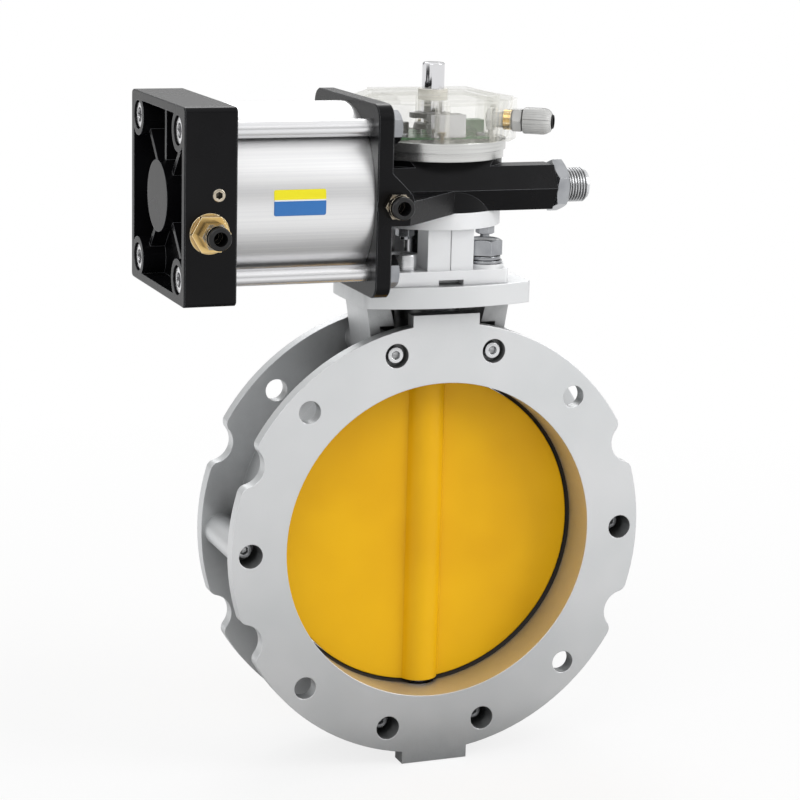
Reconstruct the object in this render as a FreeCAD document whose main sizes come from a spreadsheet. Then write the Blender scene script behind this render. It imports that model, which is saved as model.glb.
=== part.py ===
import FreeCAD, Part
import math
import os
import re
import Sketcher

# Pneumatic butterfly valve: a split flanged body with a disc on two stems,
# turned a quarter by a rack and pinion cylinder, with a switch box on top.
# Origin: centre of the front flange face. X runs along the cylinder to the
# right, Y runs through the bore away from the front face, Z runs up the stem.

DOC = FreeCAD.newDocument("PneumaticButterflyValve")

# Driving dimensions in millimetres and degrees: name, value, meaning
SIZES = [
    ("bore_radius", 100, "clear bore, nominal diameter 200"),
    ("flange_thickness", 9, "both flanges"),
    ("face_to_face", 73, "front flange face to rear flange face"),
    ("stem_depth", 33, "front flange face to the stem"),
    ("hole_circle_gap", 22.5, "bore to the circle of flange holes and body screws"),
    ("flange_edge", 14.5, "circle of flange holes to the rim of the flange"),
    ("lobe_step", 2.5, "rim of the flange lower at its two side lobes"),
    ("flange_hole_radius", 7, "clearance hole for a 12 mm bolt"),
    ("screw_angle", 15, "upper and lower body screws from the vertical"),
    ("screw_radius", 3, "body screw shank"),
    ("screw_head_radius", 5, "body screw head"),
    ("screw_head_height", 6, "body screw head"),
    ("screw_grip", 22, "thread of a body screw in the rear half"),
    ("counterbore_radius", 7.5, "counterbore of a body screw"),
    ("upper_counterbore_depth", 8, "the two upper body screws"),
    ("deep_counterbore_depth", 20, "the four other body screws"),
    ("pillar_radius", 10, "tubular screw pillar between the flanges"),
    ("barrel_wall", 11, "body between the flanges, from the bore outwards"),
    ("notch_radius", 13, "scallop in the flange rim"),
    ("notch_offset", 2, "scallop centre outside the rim"),
    ("notch_angle", 23.5, "scallop centre above or below the side"),
    ("notch_corner_radius", 6, "rounding where a scallop meets the rim"),
    ("tab_half_width", 21.6, "flat tab at the top and lug at the bottom"),
    ("tab_rise", 5.5, "flat tab above the rim"),
    ("lug_drop", 6.2, "foot lug below the rim"),
    ("lug_thickness", 12, "foot lug along the bore"),
    ("web_half_width", 4, "web from a screw pillar to the barrel"),
    ("seat_depth", 5, "seat ring outside the bore"),
    ("seat_half_width", 6, "seat ring each side of the stem plane"),
    ("seat_lip_half_width", 3.5, "narrow inner lip of the seat ring"),
    ("disc_inset", 2, "rim of the disc inside the bore"),
    ("disc_half_thickness", 4, "flat of the disc"),
    ("disc_hub_radius", 12.5, "round rib that holds the stems"),
    ("stem_radius", 8, "both stems"),
    ("stem_grip", 50, "length of a stem inside the disc"),
    ("stem_square", 11, "square end of stem and pinion"),
    ("bushing_radius", 11, "outside of the stem bushings"),
    ("bushing_length", 24, "stem bushings"),
    ("stem_seal_height", 5, "stem seals"),
    ("grub_screw_radius", 2.5, "grub screws of disc and coupling"),
    ("grub_screw_place", 72, "disc centre to a grub screw"),
    ("grub_screw_bite", 1, "grub screw into the stem"),
    ("neck_radius", 20, "stem boss at the top and bottom of the body"),
    ("neck_length", 50.3, "barrel to the top of the head plate"),
    ("head_thickness", 13, "head plate"),
    ("head_half_width", 54, "head plate along X"),
    ("head_half_depth", 44.4, "head plate along Y, at its middle"),
    ("head_bow", 9.5, "bow of the front and rear edge of the head plate"),
    ("head_front_corner", 4, "front corners of the head plate"),
    ("head_rear_corner", 24, "rear corners of the head plate"),
    ("rib_depth", 19, "ribs under the head plate, from the stem plane"),
    ("rib_inner", 32, "stem to the inside of a rib at its top"),
    ("rib_outer", 47, "stem to the outside of a rib at its top"),
    ("rib_lean", 3.5, "inside of a rib at its lower edge nearer the stem"),
    ("rib_drop", 14.3, "head plate to the lower edge of a rib"),
    ("rib_leg", 6, "leg of a rib that stands on the barrel"),
    ("rib_foot", 40, "stem to the outside of a rib at the barrel"),
    ("bracket_half_width", 38, "square bracket plate"),
    ("bracket_plate_thickness", 8.6, "square bracket plate"),
    ("leg_half_width", 14.8, "bracket leg across X"),
    ("leg_inner", 19, "stem to the inside of a leg"),
    ("leg_outer", 36, "stem to the outside of a leg"),
    ("leg_height", 25.4, "bracket leg"),
    ("leg_groove", 0.8, "fine groove down the middle of a leg"),
    ("collar_radius", 43, "round collar on the bracket and gear housing"),
    ("collar_thickness", 10, "round collar on the bracket"),
    ("plate_bore_radius", 14, "hole in the bracket plate"),
    ("pry_slot_width", 16, "slot under the front edge of the bracket"),
    ("pry_slot_height", 3, "slot under the front edge of the bracket"),
    ("big_bolt_radius", 6, "hexagon bolts of the bracket"),
    ("big_bolt_place", 26, "bracket bolts from the stem, along X and Y"),
    ("big_bolt_flats", 19, "across the flats of a bracket bolt"),
    ("big_bolt_head", 9.5, "head of a bracket bolt"),
    ("big_boss_radius", 12, "raised pad under a bracket bolt"),
    ("big_boss_height", 2.7, "raised pad under a bracket bolt"),
    ("flat_washer_radius", 11, "flat washer of a bracket bolt"),
    ("flat_washer_height", 2, "flat washer of a bracket bolt"),
    ("spring_washer_radius", 10, "spring washer of a bracket bolt"),
    ("spring_washer_height", 3, "spring washer of a bracket bolt"),
    ("low_screw_radius", 5, "socket screws of the bracket"),
    ("low_screw_head_radius", 8, "socket screws of the bracket"),
    ("low_screw_head_height", 10, "socket screws of the bracket"),
    ("collar_bolt_radius", 2.9, "bolts of the round collar"),
    ("collar_bolt_circle", 36.8, "stem to a bolt of the round collar"),
    ("collar_nut_flats", 10, "across the flats of a collar nut"),
    ("collar_nut_height", 5, "collar nut"),
    ("collar_bolt_tail", 2, "bolt thread below its nut"),
    ("collar_bolt_front_grip", 3, "thread in the gear housing, under the rack"),
    ("collar_bolt_rear_grip", 12, "thread in the gear housing, behind"),
    ("coupling_radius", 15, "sleeve between stem and pinion"),
    ("coupling_gap", 1.5, "sleeve to the hole in the round collar"),
    ("coupling_lift", 3, "sleeve above the bracket plate"),
    ("coupling_drop", 2, "sleeve below the gear housing"),
    ("housing_height", 30.7, "round part of the gear housing"),
    ("housing_roof", 8, "wall above the pinion"),
    ("cavity_radius", 26.5, "room for the pinion"),
    ("bearing_plate_radius", 31, "plate that closes the pinion room"),
    ("bearing_plate_thickness", 4, "plate that closes the pinion room"),
    ("tooth_module", 2.5, "rack and pinion"),
    ("pinion_teeth", 18, "pinion"),
    ("pressure_angle", 20, "rack and pinion"),
    ("backlash", 0.12, "play between rack and pinion flanks"),
    ("root_gap", 0.6, "tooth tip to the root it faces"),
    ("pinion_width", 16, "toothed part of the pinion"),
    ("lower_journal_radius", 10, "pinion shaft below the teeth"),
    ("upper_journal_radius", 8, "pinion shaft above the teeth"),
    ("bush_wall", 3, "pinion bushes"),
    ("thrust_flange_radius", 16, "collar of a pinion bush"),
    ("thrust_flange_height", 0.8, "collar of a pinion bush"),
    ("retaining_ring_radius", 10.5, "ring above the pinion bush"),
    ("retaining_ring_height", 1.2, "ring above the pinion bush"),
    ("rack_radius", 9, "round rack bar"),
    ("rack_flat", 8, "rack axis to the tips of its teeth"),
    ("rack_bore_radius", 10, "bore for the rack"),
    ("rack_reach", 24.5, "end of the rack beyond the stem, valve shut"),
    ("rack_bush_length", 12, "rack bushes"),
    ("right_bush_place", 20, "stem to the right bush"),
    ("left_bush_place", 50, "stem to the left bush"),
    ("gusset_height", 13.7, "web from the gear housing to the head flange"),
    ("bar_flats", 27, "across the flats of the hexagonal bar"),
    ("bar_reach", 66, "stem to the end of the hexagonal bar"),
    ("nut_flats", 28, "hexagon on the end of the bar"),
    ("nut_width", 8.5, "hexagon on the end of the bar"),
    ("nut_turn", 22, "hexagon on the end turned against the bar"),
    ("nipple_radius", 10.48, "threaded nipple, half inch pipe"),
    ("nipple_length", 15.5, "threaded nipple"),
    ("nipple_foot_length", 5, "nipple inside the bar"),
    ("nipple_bore_radius", 8, "passage in the nipple"),
    ("cap_half_width", 56, "square end cap and head flange"),
    ("cap_thickness", 30.8, "end cap"),
    ("cap_corner_radius", 3, "end cap"),
    ("edge_bevel", 0.6, "outer edges of end cap and head flange"),
    ("cap_rim", 5, "rim round the pocket of the end cap"),
    ("cap_pocket_depth", 14, "pocket of the end cap"),
    ("cap_boss_radius", 20.7, "round boss in the pocket"),
    ("cap_rib_thickness", 3, "ribs in the pocket"),
    ("cap_rib_drop", 5, "ribs below the rim of the pocket"),
    ("corner_boss_radius", 12, "boss round a tie bolt"),
    ("head_flange_thickness", 9.6, "square head flange"),
    ("head_flange_corner_radius", 9, "square head flange"),
    ("head_flange_place", 66, "stem to the cylinder side of the head flange"),
    ("tube_length", 83.2, "cylinder tube between cap and head flange"),
    ("tube_radius", 53, "outside of the cylinder tube"),
    ("cylinder_bore_radius", 50, "inside of the cylinder tube"),
    ("spigot_length", 5, "register of the tube in cap and head"),
    ("tube_seal_width", 2.5, "seals in the registers"),
    ("tube_seal_depth", 2, "seals in the registers"),
    ("tie_bolt_place", 42, "tie bolt from the cylinder axis, along Y and Z"),
    ("tie_bolt_radius", 5, "tie bolts"),
    ("tie_bolt_head_radius", 8, "tie bolt heads"),
    ("tie_bolt_head_height", 10, "tie bolt heads"),
    ("tie_bolt_tail", 8, "tie bolt beyond the head flange"),
    ("tie_nut_flats", 17, "across the flats of a tie bolt nut"),
    ("tie_nut_height", 7.4, "tie bolt nut"),
    ("piston_length", 32, "piston"),
    ("piston_seal_width", 4, "piston seals"),
    ("piston_seal_depth", 4, "piston seals"),
    ("guide_ring_width", 8, "guide ring of the piston"),
    ("guide_ring_depth", 2.5, "guide ring of the piston"),
    ("piston_bolt_radius", 4, "bolt that holds the piston on the rack"),
    ("piston_bolt_grip", 20, "bolt that holds the piston on the rack"),
    ("piston_bolt_head_radius", 6.5, "bolt that holds the piston on the rack"),
    ("piston_bolt_head_height", 8, "bolt that holds the piston on the rack"),
    ("cap_port_place", 165.6, "stem to the air port in the end cap"),
    ("cap_port_drop", 14, "cylinder axis down to the air port"),
    ("port_depth", 16, "air ports"),
    ("port_boss_radius", 10, "boss behind the cap port"),
    ("passage_radius", 2, "air passages"),
    ("port_hexagon_flats", 20, "brass bushing of the cap port"),
    ("port_hexagon_height", 5, "brass bushing of the cap port"),
    ("port_flange_radius", 11.6, "round foot of the brass bushing"),
    ("port_flange_thickness", 1.5, "round foot of the brass bushing"),
    ("port_hexagon_thread_radius", 6.5, "brass bushing in the cap"),
    ("port_hexagon_thread_length", 10, "brass bushing in the cap"),
    ("fitting_thread_radius", 4.8, "push-in fitting"),
    ("fitting_thread_length", 8, "push-in fitting"),
    ("fitting_flats", 14, "hexagon of a push-in fitting"),
    ("cap_fitting_height", 9, "hexagon of the push-in fitting in the cap"),
    ("head_fitting_height", 5, "hexagon of the push-in fitting in the head"),
    ("fitting_neck_radius", 7, "outside of a fitting at its mouth"),
    ("fitting_neck_height", 4, "fitting above its hexagon"),
    ("air_tube_radius", 4, "air tube that the fittings take"),
    ("fitting_bore_radius", 3, "passage of a fitting"),
    ("tube_stop_depth", 10, "mouth of a fitting to the stop for the tube"),
    ("release_collar_radius", 6.6, "release collar"),
    ("release_collar_height", 3, "release collar outside the fitting"),
    ("release_collar_wall", 1.1, "sleeve of the release collar"),
    ("release_collar_sleeve", 6, "sleeve of the release collar"),
    ("release_travel", 1.2, "travel of the release collar"),
    ("head_port_place", 54.5, "stem to the air port beside the head flange"),
    ("head_port_drop", 1.5, "cylinder axis down to the head port"),
    ("head_port_boss_radius", 11.5, "lug round the head port"),
    ("head_port_boss_length", 24, "lug round the head port"),
    ("bleed_place", 160, "stem to the small screw in the end cap"),
    ("bleed_rise", 7.2, "cylinder axis up to the small screw"),
    ("bleed_radius", 3.7, "small screw"),
    ("bleed_length", 5, "small screw"),
    ("switch_base_radius", 45, "round base of the switch box"),
    ("switch_base_height", 11, "round base of the switch box"),
    ("switch_base_floor", 3, "floor of the base"),
    ("switch_base_wall", 3.5, "rim of the base"),
    ("switch_step", 1.2, "shallow step round the base"),
    ("switch_step_height", 5, "shallow step round the base"),
    ("base_bore_radius", 12, "hole in the floor of the base"),
    ("base_screw_circle", 26, "stem to a screw of the base"),
    ("cover_corner_radius", 47.5, "stem to a lower corner of the cover"),
    ("cover_height", 24.5, "cover to its shoulder"),
    ("cover_flare", 5, "outward slope of the cover"),
    ("cover_wall", 2.5, "cover"),
    ("cover_turn", 12.3, "turn of the cover about the stem"),
    ("platform_half_width", 33, "raised middle of the cover"),
    ("platform_half_depth", 28, "raised middle of the cover"),
    ("platform_height", 2.5, "raised middle of the cover"),
    ("gland_face", 50, "stem to the flat that holds the gland"),
    ("gland_pad_half_width", 11, "flat that holds the gland"),
    ("gland_height", 12, "gland above the foot of the cover"),
    ("gland_thread_radius", 5, "gland thread"),
    ("gland_flats", 13, "hexagon of the gland"),
    ("gland_flange", 6, "hexagon of the gland"),
    ("gland_locknut_height", 3, "lock nut of the gland"),
    ("gland_nut_radius", 8, "gland nut"),
    ("gland_nut_length", 14, "gland nut"),
    ("gland_dome_length", 4, "rounded end of the gland nut"),
    ("gland_bore_radius", 3.3, "hole for the cable"),
    ("spindle_radius", 6.8, "chrome spindle"),
    ("spindle_rise", 44.4, "foot of the switch cover to the top of the spindle"),
    ("spindle_pin_radius", 4, "foot of the spindle in the pinion"),
    ("spindle_pin_length", 8, "foot of the spindle in the pinion"),
    ("spindle_bush_wall", 2.2, "bush in the cover"),
    ("cam_radius", 11, "switching cams"),
    ("cam_lobe_radius", 14, "switching cams"),
    ("cam_height", 3, "switching cams"),
    ("cam_pitch", 6.5, "lower cam to upper cam"),
    ("cam_lobe_angle", 30, "width of a cam lobe"),
    ("switch_length", 20, "switch body along X"),
    ("switch_depth", 8, "switch body along Y"),
    ("switch_height", 5.5, "switch body"),
    ("lever_length", 17, "switch lever"),
    ("lever_thickness", 0.6, "switch lever"),
    ("lever_place", 16, "stem to the back of a lever"),
    ("lever_gap", 1.8, "lever to its switch body"),
    ("lever_pin_radius", 0.35, "pivot pin of a lever"),
    ("lever_eye_radius", 0.8, "round eye of a lever"),
    ("lever_ear_thickness", 0.7, "ears that hold the pivot pin"),
    ("lever_side_gap", 0.3, "lever narrower than its cam, each side"),
    ("switch_plate_thickness", 1.5, "sheet metal that holds the switches"),
    ("board_thickness", 1.6, "circuit board"),
    ("board_half_width", 30, "circuit board"),
    ("board_half_depth", 22, "circuit board"),
    ("board_screw_x", 25, "stem to a board screw, along X"),
    ("board_screw_y", 17, "stem to a board screw, along Y"),
    ("cover_post_radius", 4.5, "hollow posts of the cover"),
    ("cover_post_circle", 36.5, "stem to a hollow post of the cover"),
    ("cover_post_floor", 4, "foot of a hollow post"),
    ("post_radius", 3.4, "posts of the circuit board"),
    ("terminal_x", 22, "stem to the terminal block, along X"),
    ("terminal_y", -8, "stem to the terminal block, along Y"),
    ("terminal_half_width", 7, "terminal block"),
    ("terminal_half_depth", 4.5, "terminal block"),
    ("terminal_height", 9, "terminal block"),
    ("small_screw_radius", 1.5, "screws of board and cover"),
    ("small_screw_head_radius", 2.8, "screws of board and cover"),
    ("small_screw_head_height", 2, "screws of board and cover"),
    ("running_gap", 0.05, "shaft in its bush"),
    ("fit_gap", 0.05, "piece in its seat"),
    ("seat_gap", 0.3, "disc to seat ring"),
    ("clear_gap", 0.5, "bolt in its hole, moving part past a fixed one"),
]

# Places that follow from the driving dimensions: name, formula, meaning
PLACES = [
    ("disc_radius", "bore_radius - disc_inset", "ball shaped rim of the disc"),
    ("seat_outer_radius", "bore_radius + seat_depth", "seat ring"),
    ("barrel_radius", "bore_radius + barrel_wall", "outside of the body between the flanges"),
    ("hole_circle_radius", "bore_radius + hole_circle_gap", "flange holes and body screws"),
    ("flange_radius", "hole_circle_radius + flange_edge", "rim of the flange at its shoulders"),
    ("lobe_radius", "flange_radius - lobe_step", "rim of the flange at its two side lobes"),
    ("notch_circle_radius", "flange_radius + notch_offset", "circle of the scallop centres"),
    ("tab_height", "flange_radius + tab_rise", "stem centre to the top of the tab"),
    ("lug_height", "flange_radius + lug_drop", "stem centre to the bottom of the lug"),
    ("bushing_place", "seat_outer_radius + 1", "stem centre to the start of a stem bushing"),
    ("lower_boss_height", "bushing_place + bushing_length + 4", "closed lower end"),
    ("head_height", "barrel_radius + neck_length", "stem centre to the top of the head plate"),
    ("head_underside", "head_height - head_thickness", "head plate"),
    ("rib_edge", "head_underside - rib_drop", "lower edge of a rib"),
    ("rib_foot_height", "barrel_radius * cos(22)", "foot of a rib, inside the barrel"),
    ("plate_top", "head_height + bracket_plate_thickness", "bracket plate"),
    ("collar_underside", "plate_top + leg_height", "bracket collar"),
    ("housing_base", "collar_underside + collar_thickness", "gear housing"),
    ("housing_top", "housing_base + housing_height", "gear housing"),
    ("axis_height", "housing_base + bar_flats / 2", "rack and cylinder axis"),
    ("pitch_radius", "tooth_module * pinion_teeth / 2", "pinion"),
    ("rack_pitch", "rack_flat - tooth_module", "rack axis to its pitch line"),
    ("axis_depth", "stem_depth - pitch_radius - rack_pitch", "cylinder axis"),
    ("tooth_depth", "2 * tooth_module + root_gap", "rack and pinion"),
    ("outer_radius", "pitch_radius + tooth_module", "pinion"),
    ("root_radius", "outer_radius - tooth_depth", "pinion"),
    ("base_radius", "pitch_radius * cos(pressure_angle)", "pinion"),
    ("tooth_pitch", "tooth_module * 3.14159265", "rack and pinion"),
    ("collar_bore_radius", "coupling_radius + coupling_gap", "hole in the round collar"),
    ("coupling_foot", "plate_top + coupling_lift", "coupling"),
    ("coupling_top", "housing_base - coupling_drop", "coupling"),
    ("coupling_middle", "(coupling_foot + coupling_top) / 2", "stem meets pinion"),
    ("cavity_roof", "housing_top - housing_roof", "room for the pinion"),
    ("shaft_top", "housing_top + 2 * retaining_ring_height", "top of the pinion shaft"),
    ("pinion_foot", "axis_height - pinion_width / 2", "lower face of the teeth"),
    ("pinion_crown", "axis_height + pinion_width / 2", "upper face of the teeth"),
    ("cap_inner", "head_flange_place + tube_length", "stem to the tube end at the cap"),
    ("cap_outer", "cap_inner + cap_thickness", "stem to the outside of the cap"),
    ("piston_place", "cap_inner - spigot_length - clear_gap", "stem to the piston"),
    ("tie_bolt_recess", "tie_bolt_head_height + 1", "recess of a tie bolt head"),
    ("piston_recess", "piston_bolt_head_height + 2", "recess of the piston bolt"),
    ("fitting_sleeve_radius", "air_tube_radius + running_gap + release_collar_wall", "collar"),
    ("front_face", "axis_depth - cap_half_width", "front side of cap and head flange"),
    ("screw_x", "hole_circle_radius * sin(screw_angle)", "upper and lower body screws"),
    ("screw_z", "hole_circle_radius * cos(screw_angle)", "upper and lower body screws"),
    ("hole_place", "hole_circle_radius * cos(45)", "flange holes along X and Z"),
    ("collar_bolt_place", "collar_bolt_circle * cos(45)", "collar bolts along X and Y"),
    ("base_top", "housing_top + switch_base_height", "foot of the switch cover"),
    ("gland_inner", "gland_face - 12", "stem to the inside of the gland pad"),
    ("cover_top", "base_top + cover_height", "shoulder of the switch cover"),
    ("board_level", "base_top", "underside of the circuit board"),
    ("board_top", "board_level + board_thickness", "circuit board"),
    ("cam_level", "board_top + 3", "lower cam"),
    ("gland_level", "base_top + gland_height", "gland axis"),
    ("switch_place", "lever_place + lever_gap", "stem to the near side of a switch"),
    ("switch_stack_top", "cam_level + cam_pitch + cam_height / 2 + switch_height / 2",
     "upper switch"),
    ("platform_top", "cover_top + platform_height", "raised middle of the cover"),
    ("spindle_top", "base_top + spindle_rise", "top of the spindle"),
    ("lever_end", "1 - switch_length / 2", "pivot of a lever, along X"),
    ("lever_middle", "lever_thickness / 2 - lever_place", "pivot of a lever, along Y"),
]

HOME = {}
NODES = []


def fill_sheet(name, rows, prefix):
    """One sheet of named cells, with the meaning of each beside it."""
    sheet = DOC.addObject("Spreadsheet::Sheet", name)
    for row, (alias, content, meaning) in enumerate(rows, 1):
        HOME[alias] = name + "."
        sheet.set(f"A{row}", meaning)
        sheet.set(f"B{row}", prefix + (ref(content) if prefix else str(content)))
        sheet.setAlias(f"B{row}", alias)
    DOC.recompute()
    return sheet


def ref(text):
    """A formula in which every named size points at its sheet."""
    return re.sub(r"[a-z]\w*", lambda word: HOME.get(word.group(), "") + word.group(), str(text))


def number(text):
    """The present value of a formula."""
    return float(SHEET.evalExpression(ref(text)))


def bind(thing, field, text):
    """Ties one property of an object to a formula."""
    thing.setExpression(field, ref(text))


def node(thing):
    """Marks an object as one sub-part of the valve."""
    thing.Label = thing.Name
    NODES.append(thing)
    return thing


# Shapes drawn in a sketch


def pin(sketch, piece, point, across, up):
    """Ties one point of a sketch to two formulas."""
    for kind, text in (("DistanceX", across), ("DistanceY", up)):
        limit = Sketcher.Constraint(kind, -1, 1, piece, point, number(text))
        bind(sketch, f"Constraints[{sketch.addConstraint(limit)}]", text)


def circle(across, up, radius):
    """A full circle."""
    def draw(sketch):
        middle = FreeCAD.Vector(number(across), number(up), 0)
        round_line = Part.Circle(middle, FreeCAD.Vector(0, 0, 1), number(radius))
        piece = sketch.addGeometry(round_line, False)
        pin(sketch, piece, 3, across, up)
        limit = Sketcher.Constraint("Radius", piece, number(radius))
        bind(sketch, f"Constraints[{sketch.addConstraint(limit)}]", radius)
    return draw


def polygon(corners):
    """A closed outline of straight lines through the given corners."""
    def draw(sketch):
        spots = [FreeCAD.Vector(number(a), number(b), 0) for a, b in corners]
        lines = []
        for start, end in zip(spots, spots[1:] + spots[:1]):
            lines.append(sketch.addGeometry(Part.LineSegment(start, end), False))
        for line, following in zip(lines, lines[1:] + lines[:1]):
            sketch.addConstraint(Sketcher.Constraint("Coincident", line, 2, following, 1))
        for line, (across, up) in zip(lines, corners):
            pin(sketch, line, 1, across, up)
    return draw


def rectangle(across, up, half_width, half_height):
    """A rectangle about its centre."""
    left, right = f"{across} - ({half_width})", f"{across} + ({half_width})"
    low, high = f"{up} - ({half_height})", f"{up} + ({half_height})"
    return polygon([(left, low), (right, low), (right, high), (left, high)])


def regular(sides, radius, across="0", up="0", turn="0"):
    """A regular polygon with its first corner at the angle turn."""
    step = 360 / sides
    return polygon([(f"{across} + ({radius}) * cos({turn} + {k * step})",
                     f"{up} + ({radius}) * sin({turn} + {k * step})") for k in range(sides)])


def rounded(across, up, half_width, half_height, radius):
    """A rectangle with round corners."""
    def draw(sketch):
        arcs = []
        for quarter, (east, north) in enumerate(((1, 1), (-1, 1), (-1, -1), (1, -1))):
            middle = (f"{across} + {east} * ({half_width} - {radius})",
                      f"{up} + {north} * ({half_height} - {radius})")
            spot = FreeCAD.Vector(number(middle[0]), number(middle[1]), 0)
            full = Part.Circle(spot, FreeCAD.Vector(0, 0, 1), number(radius))
            start = math.radians(90 * quarter)
            arc = sketch.addGeometry(Part.ArcOfCircle(full, start, start + math.pi / 2), False)
            pin(sketch, arc, 3, *middle)
            limit = Sketcher.Constraint("Radius", arc, number(radius))
            bind(sketch, f"Constraints[{sketch.addConstraint(limit)}]", radius)
            level, upright = (1, 2) if quarter % 2 == 0 else (2, 1)
            sketch.addConstraint(Sketcher.Constraint("Horizontal", arc, level, arc, 3))
            sketch.addConstraint(Sketcher.Constraint("Vertical", arc, upright, arc, 3))
            arcs.append(arc)
        for arc, following in zip(arcs, arcs[1:] + arcs[:1]):
            ends = [sketch.getPoint(arc, 2), sketch.getPoint(following, 1)]
            line = sketch.addGeometry(Part.LineSegment(*ends), False)
            sketch.addConstraint(Sketcher.Constraint("Coincident", arc, 2, line, 1))
            sketch.addConstraint(Sketcher.Constraint("Coincident", line, 2, following, 1))
    return draw


def bowed(front, back, half_width, bow):
    """A plate with straight sides and back, and a front edge that bows forward."""
    radius = f"(({half_width})^2 + ({bow})^2) / (2 * {bow})"

    def draw(sketch):
        middle = FreeCAD.Vector(0, number(f"{front} + {radius}"), 0)
        spread = math.asin(number(half_width) / number(radius))
        full = Part.Circle(middle, FreeCAD.Vector(0, 0, 1), number(radius))
        ends = (1.5 * math.pi - spread, 1.5 * math.pi + spread)
        arc = sketch.addGeometry(Part.ArcOfCircle(full, *ends), False)
        pin(sketch, arc, 3, "0", f"{front} + {radius}")
        limit = Sketcher.Constraint("Radius", arc, number(radius))
        bind(sketch, f"Constraints[{sketch.addConstraint(limit)}]", radius)
        right = FreeCAD.Vector(number(half_width), number(back), 0)
        left = FreeCAD.Vector(-number(half_width), number(back), 0)
        lines = [sketch.addGeometry(Part.LineSegment(*ends), False)
                 for ends in ((sketch.getPoint(arc, 2), right), (right, left),
                              (left, sketch.getPoint(arc, 1)))]
        chain = [arc] + lines
        for piece, following in zip(chain, lines + [arc]):
            sketch.addConstraint(Sketcher.Constraint("Coincident", piece, 2, following, 1))
        pin(sketch, lines[1], 1, half_width, back)
        pin(sketch, lines[1], 2, f"0 - {half_width}", back)
        for side in (lines[0], lines[2]):
            sketch.addConstraint(Sketcher.Constraint("Vertical", side))
    return draw


def sector(radius, start, end):
    """A slice of a circle about the sketch's own centre, straight back to it."""
    def draw(sketch):
        first, last = math.radians(number(start)), math.radians(number(end))
        centre = FreeCAD.Vector(0, 0, 0)
        full = Part.Circle(centre, FreeCAD.Vector(0, 0, 1), number(radius))
        arc = sketch.addGeometry(Part.ArcOfCircle(full, first, last), False)
        sketch.addConstraint(Sketcher.Constraint("Coincident", arc, 3, -1, 1))
        pin(sketch, arc, 1, f"({radius}) * cos({start})", f"({radius}) * sin({start})")
        limit = Sketcher.Constraint("DistanceX", -1, 1, arc, 2, number(f"({radius}) * cos({end})"))
        bind(sketch, f"Constraints[{sketch.addConstraint(limit)}]", f"({radius}) * cos({end})")
        out = sketch.addGeometry(Part.LineSegment(centre, sketch.getPoint(arc, 1)), False)
        back = sketch.addGeometry(Part.LineSegment(sketch.getPoint(arc, 2), centre), False)
        sketch.addConstraint(Sketcher.Constraint("Coincident", out, 1, -1, 1))
        sketch.addConstraint(Sketcher.Constraint("Coincident", out, 2, arc, 1))
        sketch.addConstraint(Sketcher.Constraint("Coincident", back, 1, arc, 2))
        sketch.addConstraint(Sketcher.Constraint("Coincident", back, 2, -1, 1))
    return draw


# Features of a body


def body(name):
    """An empty body."""
    return DOC.addObject("PartDesign::Body", name)


def sketch_on(owner, plane, level, shapes):
    """A sketch on one of the body's own planes, moved along its axis to level."""
    sketch = owner.newObject("Sketcher::SketchObject", owner.Name + "_sketch")
    origin = next(f for f in owner.Origin.OriginFeatures if f.Role == plane + "_Plane")
    sketch.AttachmentSupport = [(origin, "")]
    sketch.MapMode = "FlatFace"
    bind(sketch, "AttachmentOffset.Base.z", f"-({level})" if plane == "XZ" else level)
    for draw in shapes:
        draw(sketch)
    return sketch


def grow(owner, plane, level, shapes, length, back=False, slope=None):
    """A pad from the plane at level, along its axis or back against it."""
    pad = owner.newObject("PartDesign::Pad", owner.Name + "_pad")
    pad.Profile = sketch_on(owner, plane, level, shapes)
    bind(pad, "Length", length)
    if slope:
        bind(pad, "TaperAngle", slope)
    pad.Reversed = back != (plane == "XZ")
    DOC.recompute()
    return pad


def cut(owner, plane, level, shapes, length, back=False, slope=None):
    """A pocket from the plane at level, which has to take something away."""
    before = owner.Shape.Volume
    pocket = owner.newObject("PartDesign::Pocket", owner.Name + "_pocket")
    pocket.Profile = sketch_on(owner, plane, level, shapes)
    bind(pocket, "Length", length)
    if slope:
        bind(pocket, "TaperAngle", slope)
    pocket.Reversed = back == (plane == "XZ")
    DOC.recompute()
    if not owner.Shape.Volume < before:
        raise RuntimeError(f"a pocket of {owner.Name} takes nothing away")
    return pocket


def spin(owner, corners, kind="Revolution"):
    """A profile of (radius, height) corners turned about the body's Z axis."""
    feature = owner.newObject("PartDesign::" + kind, owner.Name + "_turned")
    feature.Profile = sketch_on(owner, "XZ", "0", [polygon(corners)])
    feature.ReferenceAxis = (feature.Profile[0], ["V_Axis"])
    feature.Angle = 360
    DOC.recompute()
    return feature


TURNS = {
    "z": FreeCAD.Rotation(),
    "-z": FreeCAD.Rotation(FreeCAD.Vector(1, 0, 0), 180),
    "x": FreeCAD.Rotation(FreeCAD.Vector(0, 1, 0), 90),
    "-x": FreeCAD.Rotation(FreeCAD.Vector(0, 1, 0), -90),
    "y": FreeCAD.Rotation(FreeCAD.Vector(1, 0, 0), -90),
    "-y": FreeCAD.Rotation(FreeCAD.Vector(1, 0, 0), 90),
}


def place(thing, x="0", y="0", z="0", towards="z"):
    """Puts a piece with its own Z axis along the named direction."""
    thing.Placement = FreeCAD.Placement(FreeCAD.Vector(), TURNS[towards])
    for side, text in zip("xyz", (x, y, z)):
        bind(thing, f"Placement.Base.{side}", text)
    return thing


def turned(name, corners, x="0", y="0", z="0", towards="z"):
    """A turned piece at its place."""
    piece = body(name)
    spin(piece, corners)
    return place(piece, x, y, z, towards)


def ring(inner, outer, low, high):
    """Corners of a plain ring or tube."""
    return [(inner, low), (outer, low), (outer, high), (inner, high)]


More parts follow.
